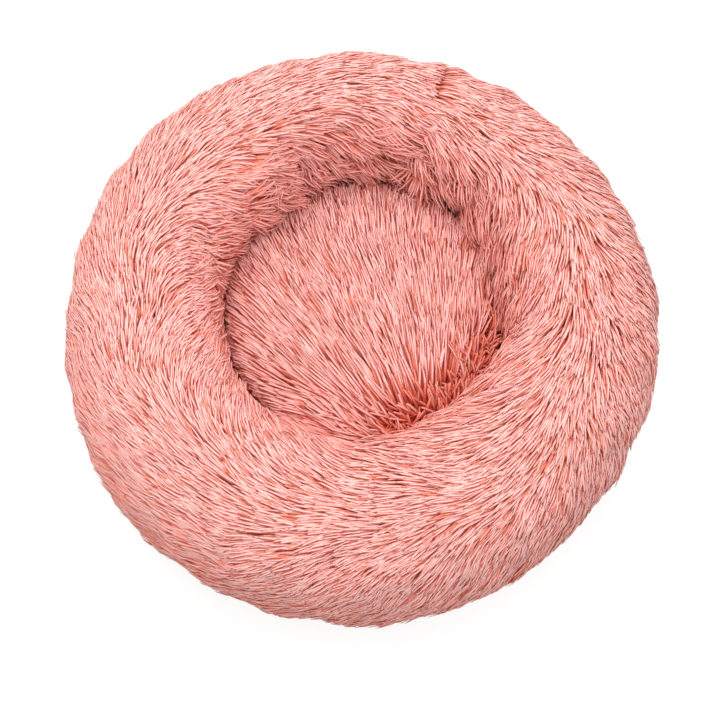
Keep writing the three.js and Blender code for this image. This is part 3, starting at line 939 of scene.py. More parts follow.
@dataclass
class Pile:
    """Grows strands over a surface and makes their meshes.

    A strand's rank, from 0 to 1, is how high it lies among its neighbours. The higher ones rise
    further from the backing and are lighter; the lower ones get painted shade, as they lie in the
    shade of the others.
    """

    surface: PileSurface
    depth: float
    floor: float = 1.4 * MM
    mesh_floor: float = 0.2 * MM
    stations: tuple[float, ...] = (0.0, 0.2, 0.44, 0.7, 0.92, 1.0)
    fullness: tuple[float, ...] = (0.8, 1.0, 1.0, 0.97, 0.72)
    lean: float = 2.4
    droop: float = 2 * MM
    thickness_share: float = 0.38
    ridge_share: float = 0.62
    belly_share: float = 0.2
    least_rise: float = 0.81
    rank_rise: float = 0.13
    streak_rise: float = 0.3 * MM
    least_tone: float = 0.14
    # Painted shade: strands that lie lower among their neighbours are darker.
    painted_rank_shade: float = 0.72
    odd_tone: float = 0.2
    streak_tone: float = 0.06

    def lift(self, rank: Points, streak: Points) -> Points:
        """How far strands rise from the backing, by their ranks and the streaks they are in."""
        return self.depth * (self.least_rise + self.rank_rise * rank) + self.streak_rise * streak

    def tone(self, rank: Points, streak: Points, draw: np.random.Generator) -> Points:
        """How light strands are: painted shade on those of low rank, plus their streaks and some
        chance.
        """
        chance = self.odd_tone * (draw.uniform(size=len(rank)) - 0.5)
        return self.least_tone + self.painted_rank_shade * rank + chance + self.streak_tone * streak

    def grow(self, plan: StrandPlan, flow: Flow) -> tuple[Points, Points]:
        """Lets the strands run along the nap.

        Args:
            plan: How each strand grows.
            flow: Gives the parts of the nap's direction along u and v, from where a strand has
                got to, where it is rooted and how far it is turned.

        Returns:
            The strands' points and the surface's outward directions there, strand by station.
        """
        u, v = plan.u.copy(), plan.v.copy()
        paths, ups = [], []
        for k, share in enumerate(self.stations):
            here = self.surface.basis(u, v)
            standing = 1 - (1 - share) ** self.lean
            height = (plan.lift + self.surface.rise(u, v)) * standing
            height = height + (plan.flick - self.droop) * share**3
            path = here.place - here.outward * (self.depth - height)[:, None]
            path[:, 2] = np.maximum(path[:, 2], self.floor)
            paths.append(path)
            ups.append(here.outward)
            if k + 1 == len(self.stations):
                break
            part_u, part_v = flow(u, v, plan, share)
            stride = plan.length * (self.stations[k + 1] - share)
            u = u + stride * part_u / here.speed_u
            v = v + stride * part_v / here.speed_v
        return np.stack(paths, axis=1), np.stack(ups, axis=1)

    def mesh(
        self,
        name: str,
        plan: StrandPlan,
        grown: tuple[Points, Points],
        material: bpy.types.Material,
    ) -> bpy.types.Object:
        """Makes one piece of strands, each a closed three-sided lock with a pointed tip.

        Args:
            name: The piece's name.
            plan: How each strand grows.
            grown: The strands' points, and the outward directions there.
            material: The finish.

        Returns:
            The piece.
        """
        paths, ups = grown
        count, rings = len(paths), len(self.stations) - 1
        tangent = unit(np.gradient(paths, axis=1))
        across = unit(np.cross(tangent, ups))
        up = np.cross(across, tangent)
        size = plan.width[:, None] * np.array(self.fullness)
        body, across, up = paths[:, :rings], across[:, :rings], up[:, :rings]
        aside, thick = across * size[..., None] / 2, up * size[..., None] * self.thickness_share
        belly = body - thick * self.belly_share
        ring = np.stack([body + thick * self.ridge_share, belly - aside, belly + aside], axis=2)
        corners = np.concatenate([ring.reshape(count, rings * 3, 3), paths[:, -1:]], axis=1)
        corners[..., 2] = np.maximum(corners[..., 2], self.mesh_floor)
        loops, sizes, along, across_map = self._pattern(rings)
        total = rings * 3 + 1
        all_loops = (loops[None] + (np.arange(count) * total)[:, None]).ravel()
        piece = add_mesh(name, corners.reshape(-1, 3), all_loops, np.tile(sizes, count), material)
        band = np.minimum((plan.tone * TONES).astype(int), TONES - 1)
        spots = np.empty((count, len(loops), 2), np.float32)
        spots[..., 0] = along[None]
        spots[..., 1] = (band[:, None] + across_map[None]) / TONES
        layer = piece.data.uv_layers.new(name=PILE_MAP)
        layer.data.foreach_set("uv", spots.ravel())
        return piece

    def _pattern(self, rings: int) -> tuple[Points, Points, Points, Points]:
        """The faces of one strand, and where their corners lie on its map.

        Args:
            rings: How many rings of three corners it has below its tip.

        Returns:
            The faces' corner numbers, how many corners each face has, and each corner's places
            along and across the strand.
        """
        ridge, flank = 0.2, 0.8
        sides = ((0, 1, ridge, flank), (1, 2, flank - 0.1, flank), (2, 0, flank, ridge))
        loops: list[int] = []
        sizes: list[int] = []
        along: list[float] = []
        across: list[float] = []
        places = [0.01 + 0.98 * s for s in self.stations]
        for k in range(rings - 1):
            for j, n, here, there in sides:
                loops += [3 * k + j, 3 * k + n, 3 * k + 3 + n, 3 * k + 3 + j]
                along += [places[k], places[k], places[k + 1], places[k + 1]]
                across += [here, there, there, here]
                sizes.append(4)
        for j, n, here, there in sides:
            last = 3 * (rings - 1)
            loops += [last + j, last + n, 3 * rings]
            along += [places[rings - 1], places[rings - 1], places[rings]]
            across += [here, there, (ridge + flank) / 2]
            sizes.append(3)
        loops += [2, 1, 0]
        along += [places[0], places[0], places[0] + 0.03]
        across += [flank, flank - 0.2, flank]
        sizes.append(3)
        return np.array(loops), np.array(sizes), np.array(along), np.array(across)

    def make(
        self,
        name: str,
        plan: StrandPlan,
        flow: Flow,
        material: bpy.types.Material,
    ) -> list[bpy.types.Object]:
        """Grows a batch and makes it in pieces of a size that every tool takes.

        Args:
            name: The start of each piece's name.
            plan: How each strand grows.
            flow: The nap's direction.
            material: The finish.

        Returns:
            The pieces.
        """
        count = len(plan.u)
        parts = max(1, math.ceil(count / STRANDS_PER_PIECE))
        edges = np.linspace(0, count, parts + 1).astype(int)
        made = []
        for i in range(parts):
            part = plan.chosen(np.arange(edges[i], edges[i + 1]))
            label = f"{name}_{i + 1}" if parts > 1 else name
            made.append(self.mesh(label, part, self.grow(part, flow), material))
        return made


def spread(count: int, seed: int) -> tuple[Points, Points]:
    """Evenly spread pairs of shares from 0 to 1, a little shaken.

    Each pair is a step along two powers of the plastic number, which keeps all pairs apart.

    Args:
        count: How many pairs.
        seed: Seed of the shaking.

    Returns:
        The first and second shares.
    """
    jitter, plastic = 0.35, 1.324717957244746
    i = np.arange(count)
    shake = np.random.default_rng(seed).normal(scale=jitter / math.sqrt(count), size=(2, count))
    first, second = ((0.5 + i / plastic**power + shake[power - 1]) % 1 for power in (1, 2))
    return first, second


# Sub-assemblies


@dataclass(frozen=True)
class Nap:
    """Which way the ring's pile lies, in degrees from clockwise towards the nest.

    Each curve is given as places round the bed and angles there, for one panel at a time, so
    the nap turns sharply at a seam. The left panel comes first in each pair.
    """

    seam_angles: tuple[float, float] = (76.0, 247.0)
    outer: tuple[Knots, Knots] = (
        ((76, -12), (100, -24), (140, -30), (180, -32), (215, -16), (247, -3)),
        ((247, -24), (270, -30), (300, -42), (330, -52), (390, -55), (420, -44), (436, -38)),
    )
    inner: tuple[Knots, Knots] = (
        ((76, 18), (100, 22), (130, 35), (150, 55), (180, 66), (215, 50), (247, 36)),
        (
            (247, 30), (270, 15), (300, 25), (335, 40), (390, 32),
            (415, 27), (426, 36), (433, 66), (436, 78),
        ),
    )

    def angle(self, u: Points, v: Points, root: Points) -> Points:
        """The nap's angle in radians.

        Args:
            u: Angles round the bed.
            v: Angles round the section.
            root: Angles round the bed of the strands' roots, which settle their panel.

        Returns:
            Angles from clockwise towards the nest.
        """
        first, second = self.seam_angles
        rooted = np.degrees(root) % 360
        is_left = (rooted >= first) & (rooted < second)
        base = np.where(is_left, first, second)
        span = np.where(is_left, second - first, 360 - second + first)
        mid = base + span / 2
        place = mid + np.clip((np.degrees(u) - mid + 180) % 360 - 180, -span / 2, span / 2)
        outer, inner = (
            np.where(is_left, self.curve(pair[0], place), self.curve(pair[1], place))
            for pair in (self.outer, self.inner)
        )
        degrees = np.degrees(v)
        foot = 0.65 + 0.35 * blend_step(degrees, -60, -20)
        share_out = foot * (1 - blend_step(degrees, 38, 92))
        share_in = blend_step(degrees, 84, 132)
        return np.radians(outer * share_out + inner * share_in)

    @staticmethod
    def curve(knots: Sequence[tuple[float, float]], place: Points) -> Points:
        """The angle of one curve at places round the bed."""
        places, angles = zip(*knots)
        return np.interp(place, places, angles)


@dataclass
class Bolster:
    """The ring: two fur panels on a knit backing, parted at two seams."""

    surface: RingSurface = field(default_factory=RingSurface)
    nap: Nap = field(default_factory=Nap)
    hem_height: float = 6 * MM
    seat_seam_height: float = SEAT_SEAM_HEIGHT
    pile_depth: float = 21 * MM
    backing_thickness: float = 1.2 * MM
    tries: int = 100000
    strand_length: float = 50 * MM
    length_spread: tuple[float, float] = (0.82, 1.12)
    strand_width: float = 2.9 * MM
    width_spread: tuple[float, float] = (0.72, 1.2)
    overrun: tuple[float, float] = (9 * MM, 22 * MM)
    shortest: float = 14 * MM
    streak_size: tuple[float, float] = (45 * MM, 7 * MM)
    wall_angles: tuple[float, float] = (98.0, 150.0)
    # Painted shade: the pile low on the outer flank, near the floor, is darker and redder.
    painted_foot_angles: tuple[float, float] = (-10.0, 50.0)
    painted_foot_shade: float = 0.34
    mean_radius: float = 225 * MM
    mean_section: float = 92 * MM
    lean_in: tuple[tuple[float, ...], tuple[float, ...]] = (
        (7, 20, 38, 64, 89, 105, 120, 141, 161, 180, 205, 222, 255, 286, 301, 321, 343, 358, 367),
        (0, 4, 0, 1, -2, -7, 4, 18, 6, 1, 0, -6, -4, -6, 1, 5, 0, -8, 0),
    )
    seed: int = 7

    @property
    def seam_angles(self) -> tuple[float, float]:
        """Angles round the bed of the seams between the panels."""
        return self.nap.seam_angles

    def build(self, pile: bpy.types.Material, backing: bpy.types.Material) -> None:
        """Makes both panels.

        Args:
            pile: The strands' finish.
            backing: The backing's finish.
        """
        plan = self.plan()
        theta = np.degrees(plan.u) % 360
        first, second = self.seam_angles
        is_left = (theta >= first) & (theta < second)
        for panel in Panel:
            node = f"bolster_cover_{panel.value}"
            skin = self.backing(panel, backing)
            seat_piece(skin, [node])
            chosen = np.flatnonzero(is_left if panel is Panel.LEFT else ~is_left)
            order = np.argsort((theta[chosen] - first) % 360)
            part = plan.chosen(chosen[order])
            for piece in self.pile().make(f"bolster_pile_{panel.value}", part, self.flow, pile):
                seat_piece(piece, [node])

    def pile(self) -> Pile:
        """The pile on this surface."""
        return Pile(self.surface, self.pile_depth)

    def backing(self, panel: Panel, material: bpy.types.Material) -> bpy.types.Object:
        """The knit backing of one panel, a closed shell under the pile.

        Args:
            panel: Which panel.
            material: The finish.

        Returns:
            The piece.
        """
        first, second = (math.radians(a) for a in self.seam_angles)
        ends = (first, second) if panel is Panel.LEFT else (second, first + 2 * math.pi)
        margin = 0.0006
        theta = np.linspace(ends[0] + margin, ends[1] - margin, 121)
        low = self.surface.angle_at(self.hem_height + 6 * MM, False)
        high = self.surface.angle_at(self.seat_seam_height, True)
        around = np.linspace(low, high, 57)
        u, v = np.meshgrid(theta, around, indexing="ij")
        outer = self.surface.under(u, v, self.pile_depth)
        inner = self.surface.under(u, v, self.pile_depth + self.backing_thickness)
        loops = np.concatenate([outer, inner[:, ::-1]], axis=1)
        loops[..., 2] = np.maximum(loops[..., 2], 3 * MM)
        return add_grid(f"bolster_backing_{panel.value}", loops, material, wraps_rows=False)

    def plan(self) -> StrandPlan:
        """Where each strand is rooted and how it grows.

        Each swell has a seed and a wavelength in millimetres. The wall of the nest, and most of all
        its rear, is more tousled than the rest.

        Returns:
            The plan of all strands of both panels.
        """
        draw = np.random.default_rng(self.seed)
        low = self.surface.angle_at(self.hem_height + 1 * MM, False)
        high = self.surface.angle_at(self.seat_seam_height, True)
        share_u, share_v = spread(self.tries, self.seed)
        u, v = share_u * 2 * math.pi, low + share_v * (high - low)
        here = self.surface.basis(u, v)
        area = here.speed_u * here.speed_v
        kept = draw.uniform(size=self.tries) < area / area.max()
        u, v, place = u[kept], v[kept], here.place[kept]
        count = len(u)
        rank = draw.uniform(size=count)
        lengthwise = self.lengthwise(u, v)
        streak = Ripples(3, self.streak_size).at(lengthwise)
        wall = blend_step(np.degrees(v), *self.wall_angles)
        rough = wall * self.rear(place)
        ragged = swell(8, 24, place)
        lift = self.pile().lift(rank, streak) + MM * 0.5 * swell(4, 26, place)
        lift += wall * (self.leaning(place) + MM * 2.0 * ragged)
        lift += MM * rough * np.clip(4.5 * ragged, -6.0, 6.0)
        lift += MM * wall * (1.3 * swell(20, 12, place) + draw.normal(0, 0.7, count))
        length = self.strand_length * draw.uniform(*self.length_spread, count)
        length *= 1 - 0.22 * rough
        length = self.trimmed(u, v, length, draw)
        flick = draw.normal(0.0, (1.3 + 0.4 * wall + 1.2 * rough) * MM, count)
        flick = np.maximum(flick, DEEPEST_FLICK)
        flick += MM * rough * (1.0 + 2.2 * swell(19, 22, place))
        turn = draw.normal(0, 3.0 + 1.0 * wall + 2.0 * rough, count)
        turn += (11.0 * wall + 19.0 * rough) * swell(9, 38, place)
        turn += (5.0 * wall + 8.0 * rough) * swell(10, 18, place)
        turn += 6.0 * Ripples(5, (70 * MM, 16 * MM)).at(lengthwise) + 7.0 * swell(6, 85, place)
        # Painted shade on low strands comes from the pile's tone; the tousled rear wall gets
        # painted light, unevenly.
        tone = self.pile().tone(rank, streak, draw) + rough * (0.34 + 0.14 * ragged)
        # Painted shade low on the outer flank, near the floor.
        tone -= self.painted_foot_shade * (1 - blend_step(np.degrees(v), *self.painted_foot_angles))
        return StrandPlan(
            u=u,
            v=v,
            length=length,
            lift=lift,
            flick=flick,
            turn=np.radians(turn),
            bend=np.radians(draw.normal(0, 9.0 + 13.0 * rough, count)),
            width=self.strand_width * draw.uniform(*self.width_spread, count),
            tone=np.clip(tone, 0.0, 0.999),
        )

    def lengthwise(self, u: Points, v: Points) -> Points:
        """Lengths round the bed and the section, turned to lie along the nap and across it.

        Args:
            u: Angles round the bed.
            v: Angles round the section.

        Returns:
            Pairs of lengths, along the nap first.
        """
        round_bed, round_section = u * self.mean_radius, v * self.mean_section
        angle = self.nap.angle(u, v, u)
        along = round_bed * np.cos(angle) - round_section * np.sin(angle)
        across = round_bed * np.sin(angle) + round_section * np.cos(angle)
        return np.stack([along, across], axis=-1)

    def rear(self, place: Points) -> Points:
        """How far a place is at the rear of the nest, from 0 to 1."""
        around = np.arctan2(place[:, 1] - self.surface.nest_offset, place[:, 0])
        return blend_step(np.sin(around), 0.15, 0.75)

    def leaning(self, place: Points) -> Points:
        """How far the ring leans over the seat, by the direction from the middle of the nest."""
        around = np.degrees(np.arctan2(place[:, 1] - self.surface.nest_offset, place[:, 0]))
        return np.interp(around, *self.lean_in, period=360) * MM

    def trimmed(self, u: Points, v: Points, length: Points, draw: np.random.Generator) -> Points:
        """Shortens the strands that would run far over the rear seam on the ring's outer half.

        Args:
            u: Angles round the bed of the roots.
            v: Angles round the section of the roots.
            length: The strands' lengths.
            draw: The ring's random draws.

        Returns:
            The lengths that are left.
        """
        middle, half = self.surface.section(u)
        radius = middle + half * np.cos(v)
        spare = draw.uniform(*self.overrun, len(u))
        gap = (u - math.radians(self.seam_angles[0]) + math.pi) % (2 * math.pi) - math.pi
        room = gap * radius / np.maximum(np.cos(self.nap.angle(u, v, u)), 0.4) + spare
        outer = (v < math.radians(88)) & (gap >= 0)
        return np.where(outer, np.minimum(length, np.maximum(room, self.shortest)), length)

    def flow(self, u: Points, v: Points, plan: StrandPlan, share: float) -> tuple[Points, Points]:
        """The nap on the ring: clockwise from above, outwards outside and down into the nest.

        Args:
            u: Where the strands have got to, round the bed.
            v: Where they have got to, round the section.
            plan: How each strand grows, with its root.
            share: How much of a strand has grown.

        Returns:
            The parts of the direction along u and v.
        """
        angle = self.nap.angle(u, v, plan.u) + plan.turn + plan.bend * (share - 0.5)
        low = self.surface.angle_at(3 * MM, False)
        high = self.surface.angle_at(self.seat_seam_height, True)
        part_v = np.sin(angle)
        part_v = np.where((v < low) & (part_v < 0), 0.0, part_v)
        part_v = np.where((v > high) & (part_v > 0), 0.0, part_v)
        return -np.cos(angle), part_v


@dataclass
class Seat:
    """The seat: a fur disc on a knit backing over the pad."""

    surface: SeatSurface = field(default_factory=SeatSurface)
    pile_depth: float = 20 * MM
    backing_thickness: float = 1.2 * MM
    foot_height: float = SEAT_SEAM_HEIGHT
    tries: int = 7600
    side_reach: float = 14 * MM
    strand_length: float = 64 * MM
    length_spread: tuple[float, float] = (0.82, 1.1)
    strand_width: float = 2.9 * MM
    width_spread: tuple[float, float] = (0.78, 1.2)
    streak_size: tuple[float, float] = (7 * MM, 42 * MM)
    source: tuple[float, float] = (86 * MM, -184 * MM)
    source_reach: tuple[float, float] = (60 * MM, 130 * MM)
    hole_edge: float = 0.6
    band_angles: tuple[float, float] = (-74.0, -10.0)
    band_width: float = 26 * MM
    messy_spots: tuple[tuple[float, float, float, float], ...] = (
        (113, 72, 13, 1.0),
        (56, 122, 9, 0.9),
    )
    seed: int = 21

    def build(self, pile: bpy.types.Material, backing: bpy.types.Material) -> None:
        """Makes the disc's backing and its pile.

        Args:
            pile: The strands' finish.
            backing: The backing's finish.
        """
        skin = self.backing(backing)
        seat_piece(skin, ["seat_cover"])
        for piece in self.pile().make("seat_pile", self.plan(), self.flow, pile):
            seat_piece(piece, ["seat_cover"])

    def pile(self) -> Pile:
        """The pile on this surface."""
        return Pile(self.surface, self.pile_depth, droop=1.2 * MM)

    def backing(self, material: bpy.types.Material) -> bpy.types.Object:
        """The knit backing, a closed crowned shell that ends at the seam.

        Args:
            material: The finish.

        Returns:
            The piece.
        """
        insets = (self.pile_depth, self.pile_depth + self.backing_thickness)
        outer, inner = (self.profile(self.surface.radius - inset, inset) for inset in insets)
        profile = np.concatenate([outer, inner[::-1]])
        turn = np.linspace(0, 2 * math.pi, 96, endpoint=False)
        grid = np.stack(
            [
                profile[None, :, 0] * np.cos(turn)[:, None],
                profile[None, :, 0] * np.sin(turn)[:, None] + self.surface.nest_offset,
                np.broadcast_to(profile[None, :, 1], (len(turn), len(profile))),
            ],
            axis=-1,
        )
        return add_grid("seat_backing", grid, material)

    def profile(self, radius: float, inset: float) -> Points:
        """One layer's section from the seam up to the crown.

        Args:
            radius: The layer's radius.
            inset: How far it lies below the pile's surface.

        Returns:
            Pairs of a radius and a height.
        """
        surface = self.surface
        angle = np.linspace(0, math.pi / 2, 20)
        power = 2 / surface.power
        crown = surface.crown_height - inset
        reach = np.maximum(radius * np.cos(angle) ** power, 0.4 * MM)
        rise = surface.hip_height + (crown - surface.hip_height) * np.sin(angle) ** power
        return np.concatenate([[[radius, self.foot_height]], np.stack([reach, rise], axis=1)])

    def plan(self) -> StrandPlan:
        """Where each strand is rooted and how it grows.

        Each swell has a seed and a wavelength in millimetres.

        Returns:
            The plan of all strands.
        """
        draw = np.random.default_rng(self.seed)
        share_u, share_v = spread(self.tries, self.seed)
        rho = np.sqrt(share_u) * (self.surface.radius + self.side_reach)
        phi = share_v * 2 * math.pi
        u, v = rho * np.cos(phi), rho * np.sin(phi)
        flat = np.stack([u, v], axis=-1)
        kept = self.mess(u, v) * swell(18, 13, flat) <= self.hole_edge
        u, v, flat = u[kept], v[kept], flat[kept]
        count = len(u)
        rank = draw.uniform(size=count)
        streak = Ripples(13, self.streak_size).at(flat)
        messy = self.mess(u, v)
        lift = self.pile().lift(rank, streak) + MM * 0.7 * swell(14, 24, self.surface.point(u, v))
        near = 1 - blend_step(np.hypot(*(flat - self.source).T), *self.source_reach)
        turn = draw.normal(0, 2.0, count) + 8.0 * swell(15, 34, flat)
        turn += 16.0 * near * swell(21, 22, flat)
        turn += messy * (16.0 * draw.normal(size=count) + 42.0 * swell(16, 15, flat))
        # Painted shade: the standing tufts are darker.
        tone = self.pile().tone(rank, streak, draw) - 0.36 * messy
        length = self.strand_length * draw.uniform(*self.length_spread, count)
        flick = np.maximum(draw.normal(0.0, 1.5 * MM, count), DEEPEST_FLICK)
        return StrandPlan(
            u=u,
            v=v,
            length=length * (1 - 0.56 * messy),
            lift=lift + MM * messy * (4 * rank - 3 * swell(17, 16, flat)),
            flick=flick + MM * 3.5 * messy,
            turn=np.radians(turn),
            bend=np.radians(draw.normal(0, 9.0, count)),
            width=self.strand_width * draw.uniform(*self.width_spread, count) * (1 + 0.15 * near),
            tone=np.clip(tone, 0.0, 0.999),
        )

    def mess(self, u: Points, v: Points) -> Points:
        """How far the pile stands up in short tufts: in a band along the edge and in spots.

        Each spot has a place in millimetres from the middle of the seat, a reach and a strength.

        Args:
            u: Lengths along X from the middle of the nest.
            v: Lengths along Y from there.

        Returns:
            A share from 0 to 1 for each.
        """
        around, out = np.degrees(np.arctan2(v, u)), np.hypot(u, v)
        first, last = self.band_angles
        ends = blend_step(around, first - 8, first + 4)
        ends *= 1 - blend_step(around, last - 4, last + 8)
        inner = self.surface.radius - self.band_width
        share = ends * blend_step(out, inner, inner + 0.5 * self.band_width)
        for x, y, reach, strength in self.messy_spots:
            off = np.hypot(u - x * MM, v - y * MM) / (reach * MM)
            share = np.maximum(share, strength * (1 - blend_step(off, 0.45, 1.0)))
        return share

    def flow(self, u: Points, v: Points, plan: StrandPlan, share: float) -> tuple[Points, Points]:
        """The nap on the seat: it fans out from a place near the front towards the back.

        Args:
            u: Where the strands have got to, along X.
            v: Where they have got to, along Y.
            plan: How each strand grows, with its root.
            share: How much of a strand has grown.

        Returns:
            The parts of the direction along u and v.
        """
        angle = np.arctan2(plan.v - self.source[1], plan.u - self.source[0])
        angle = angle - 0.33 * blend_step(plan.v, -10 * MM, 110 * MM)
        angle = angle + plan.turn + plan.bend * (share - 0.5)
        part_u, part_v = np.cos(angle), np.sin(angle)
        rho = np.hypot(u, v)
        leaving = (rho > self.surface.radius * 0.97) & (u * part_u + v * part_v > 0)
        slow = np.where(leaving, 0.25, 1.0)
        return part_u * slow, part_v * slow


@dataclass
class Base:
    """The underside: two halves of cloth with dots against slipping, piping and the zip's tapes."""

    surface: RingSurface = field(default_factory=RingSurface)
    cover_depth: float = 22 * MM
    rim_share: float = 0.619
    piping_radius: float = 2.4 * MM
    piping_height: float = 2.7 * MM
    gap: float = 0.3 * MM
    cloth_thickness: float = 0.7 * MM
    low_height: float = 0.5 * MM
    recess_height: float = 7.1 * MM
    recess_radius: float = 114 * MM
    recess_slope: float = 20 * MM
    window_half_length: float = 100 * MM
    window_half_width: float = 7.15 * MM
    crease_height: float = 0.15 * MM
    dot_pitch: float = 10 * MM
    dot_row_share: float = 0.87
    dot_rows: int = 28
    dot_rim_margin: float = 12 * MM
    dot_zip_margin: float = 19 * MM
    dot_end_margin: float = 6 * MM
    tape_inner: float = 3.3 * MM
    tape_width: float = 12 * MM
    tape_half_length: float = 104 * MM
    tape_thickness: float = 0.45 * MM
    tape_height: float = 6.27 * MM
    stitch_pitch: float = 3.4 * MM
    stitch: Profile = ((-1.2, 0.06), (-1.0, 0.2), (0.0, 0.26), (1.0, 0.2), (1.2, 0.06))
    dot: Profile = ((0.1, 1.25), (-0.2, 1.15), (-0.38, 0.8), (-0.45, 0.3))

    def build(self) -> None:
        """Makes the cloth, the piping, the tapes and what is on them."""
        cloth = KnitFinish("base_cloth", (217, 179, 172), (186, 140, 132), 1.4 * MM).material()
        tape = KnitFinish("zip_tape_weave", (219, 167, 159), (180, 118, 108), 0.7 * MM).material()
        thread = KnitFinish("sewing_thread", (236, 196, 188), (206, 160, 150), 0.5 * MM).material()
        bias = KnitFinish("piping_cloth", (207, 159, 151), (170, 116, 106), 0.8 * MM).material()
        rubber = PlasticFinish("slip_dots", (240, 204, 196), (226, 184, 174), 0.55).material()
        self.piping(bias)
        for side in Side:
            self.half(side, cloth, thread, rubber)
            self.tape(side, tape, thread)

    def rim(self, theta: Points) -> Points:
        """Radius of the piping's middle line from the middle of the bed."""
        middle, half = self.surface.section(theta)
        return middle + (half - self.cover_depth) * self.rim_share

    def height(self, places: Points) -> Points:
        """Height of the cloth's lower face: low under the ring, raised under the seat.

        Args:
            places: Points, of which X and Y are used.

        Returns:
            A height for each.
        """
        reach = np.hypot(places[..., 0], places[..., 1] - self.surface.nest_offset)
        share = 1 - blend_step(reach, self.recess_radius, self.recess_radius + self.recess_slope)
        crease = np.clip(swell(31, 26, places[..., :2]), 0, 1)
        lift = self.low_height + (self.recess_height - self.low_height) * share
        return lift + self.crease_height * crease * (1 - share)

    def piping(self, material: bpy.types.Material) -> None:
        """Makes the covered cord that runs round the base seam.

        Args:
            material: The finish.
        """
        theta = np.linspace(0, 2 * math.pi, 300, endpoint=False)
        turn = np.linspace(0, 2 * math.pi, 14, endpoint=False)
        around = np.stack([np.cos(theta), np.sin(theta)], axis=-1)
        size = self.piping_radius * (0.97 + 0.02 * swell(32, 60, around * 250 * MM))
        radius = self.rim(theta)[:, None] + size[:, None] * np.cos(turn)
        height = self.piping_height + size[:, None] * np.sin(turn)
        grid = np.concatenate([around[:, None] * radius[..., None], height[..., None]], axis=-1)
        seat_piece(add_grid("piping_cord", grid, material), ["base_piping"])

    def flat_half(self, side: Side) -> Points:
        """Places over one half of the cloth, fan-wise from the zip's window to the rim.

        Args:
            side: Which half.

        Returns:
            Pairs of X and Y, in rows that run outwards.
        """
        corner = math.atan2(self.window_half_width, self.window_half_length)
        ends, fan = np.linspace(0, corner, 4), np.linspace(corner, math.pi - corner, 150)
        angle = np.concatenate([ends[:-1], fan, math.pi - ends[:-1][::-1]])
        run = np.stack([np.cos(angle), side.value * np.sin(angle)], axis=-1)
        start = np.minimum(
            self.window_half_length / np.maximum(np.abs(run[:, 0]), 1e-9),
            self.window_half_width / np.maximum(np.abs(run[:, 1]), 1e-9),
        )
        middle = np.array([0.0, self.surface.nest_offset + side.value * self.gap / 2])
        near, far = np.zeros_like(angle), np.full_like(angle, 0.35)
        for _ in range(24):
            mean = (near + far) / 2
            place = middle + run * mean[:, None]
            edge = self.rim(np.arctan2(place[:, 1], place[:, 0])) - self.piping_radius - self.gap
            within = np.hypot(place[:, 0], place[:, 1]) < edge
            near, far = np.where(within, mean, near), np.where(within, far, mean)
        share = np.linspace(0, 1, 64)
        reach = start[:, None] + (near - start)[:, None] * share
        return middle + run[:, None] * reach[..., None]

    def half(
        self,
        side: Side,
        cloth: bpy.types.Material,
        thread: bpy.types.Material,
        rubber: bpy.types.Material,
    ) -> None:
        """One half of the cloth with its dots and the stitches along its rim.

        Args:
            side: Which half.
            cloth: The cloth's finish.
            thread: The stitches' finish.
            rubber: The dots' finish.
        """
        label = side.name.lower()
        flat = self.flat_half(side)
        low = np.concatenate([flat, self.height(flat)[..., None]], axis=-1)
        grid = cloth_grid(low, self.cloth_thickness)
        piece = add_grid(f"underside_{label}", grid, cloth, wraps_rows=False)
        seat_piece(piece, [f"base_cloth_{label}"])
        places, runs = stitched(low[2:-2, -2], self.stitch_pitch)
        seam = add_beads(f"rim_stitches_{label}", places, runs, self.stitch, thread)
        seat_piece(seam)
        upright = np.array([0.0, 0.0, 1.0])
        dots = add_beads(f"slip_dots_{label}", self.dots(side), upright, self.dot, rubber)
        seat_piece(dots)

    def dots(self, side: Side) -> Points:
        """Places of the dots on one half, in staggered rows clear of the zip and the rim.

        Args:
            side: Which half.

        Returns:
            The places, on the cloth's lower face.
        """
        step = np.arange(-self.dot_rows, self.dot_rows + 1)
        column, row = (a.ravel().astype(float) for a in np.meshgrid(step, step))
        x = (column + 0.5 * (row % 2)) * self.dot_pitch
        out = (np.abs(row) + 0.5) * self.dot_pitch * self.dot_row_share
        y = self.surface.nest_offset + side.value * out
        radius = np.hypot(x, y)
        clear = radius < self.rim(np.arctan2(y, x)) - self.dot_rim_margin
        off = np.abs(y - self.surface.nest_offset)
        past_end = np.abs(x) > self.tape_half_length + self.dot_end_margin
        clear &= (off > self.dot_zip_margin) | past_end
        clear &= row >= 0
        flat = np.stack([x[clear], y[clear]], axis=-1)
        return np.concatenate([flat, self.height(flat)[:, None]], axis=-1)

    def tape(self, side: Side, material: bpy.types.Material, thread: bpy.types.Material) -> None:
        """Makes one tape of the zip, with the two rows of stitches that hold it to the cloth.

        Args:
            side: Which side of the zip.
            material: The tape's finish.
            thread: The stitches' finish.
        """
        label = side.name.lower()
        along = np.linspace(-self.tape_half_length, self.tape_half_length, 105)
        across = self.tape_inner + np.linspace(0, self.tape_width, 9)
        x, y = np.meshgrid(along, self.surface.nest_offset + side.value * across, indexing="ij")
        low = np.stack([x, y, np.full_like(x, self.tape_height)], axis=-1)
        grid = cloth_grid(low, self.tape_thickness)
        piece = add_grid(f"zip_web_{label}", grid, material, wraps_rows=False)
        seat_piece(piece, [f"zip_tape_{label}"])
        rows = [stitched(low[2:-2, column], self.stitch_pitch) for column in (4, 7)]
        places, runs = (np.concatenate([row[k] for row in rows]) for k in (0, 1))
        seam = add_beads(f"zip_stitches_{label}", places, runs, self.stitch, thread)
        seat_piece(seam)


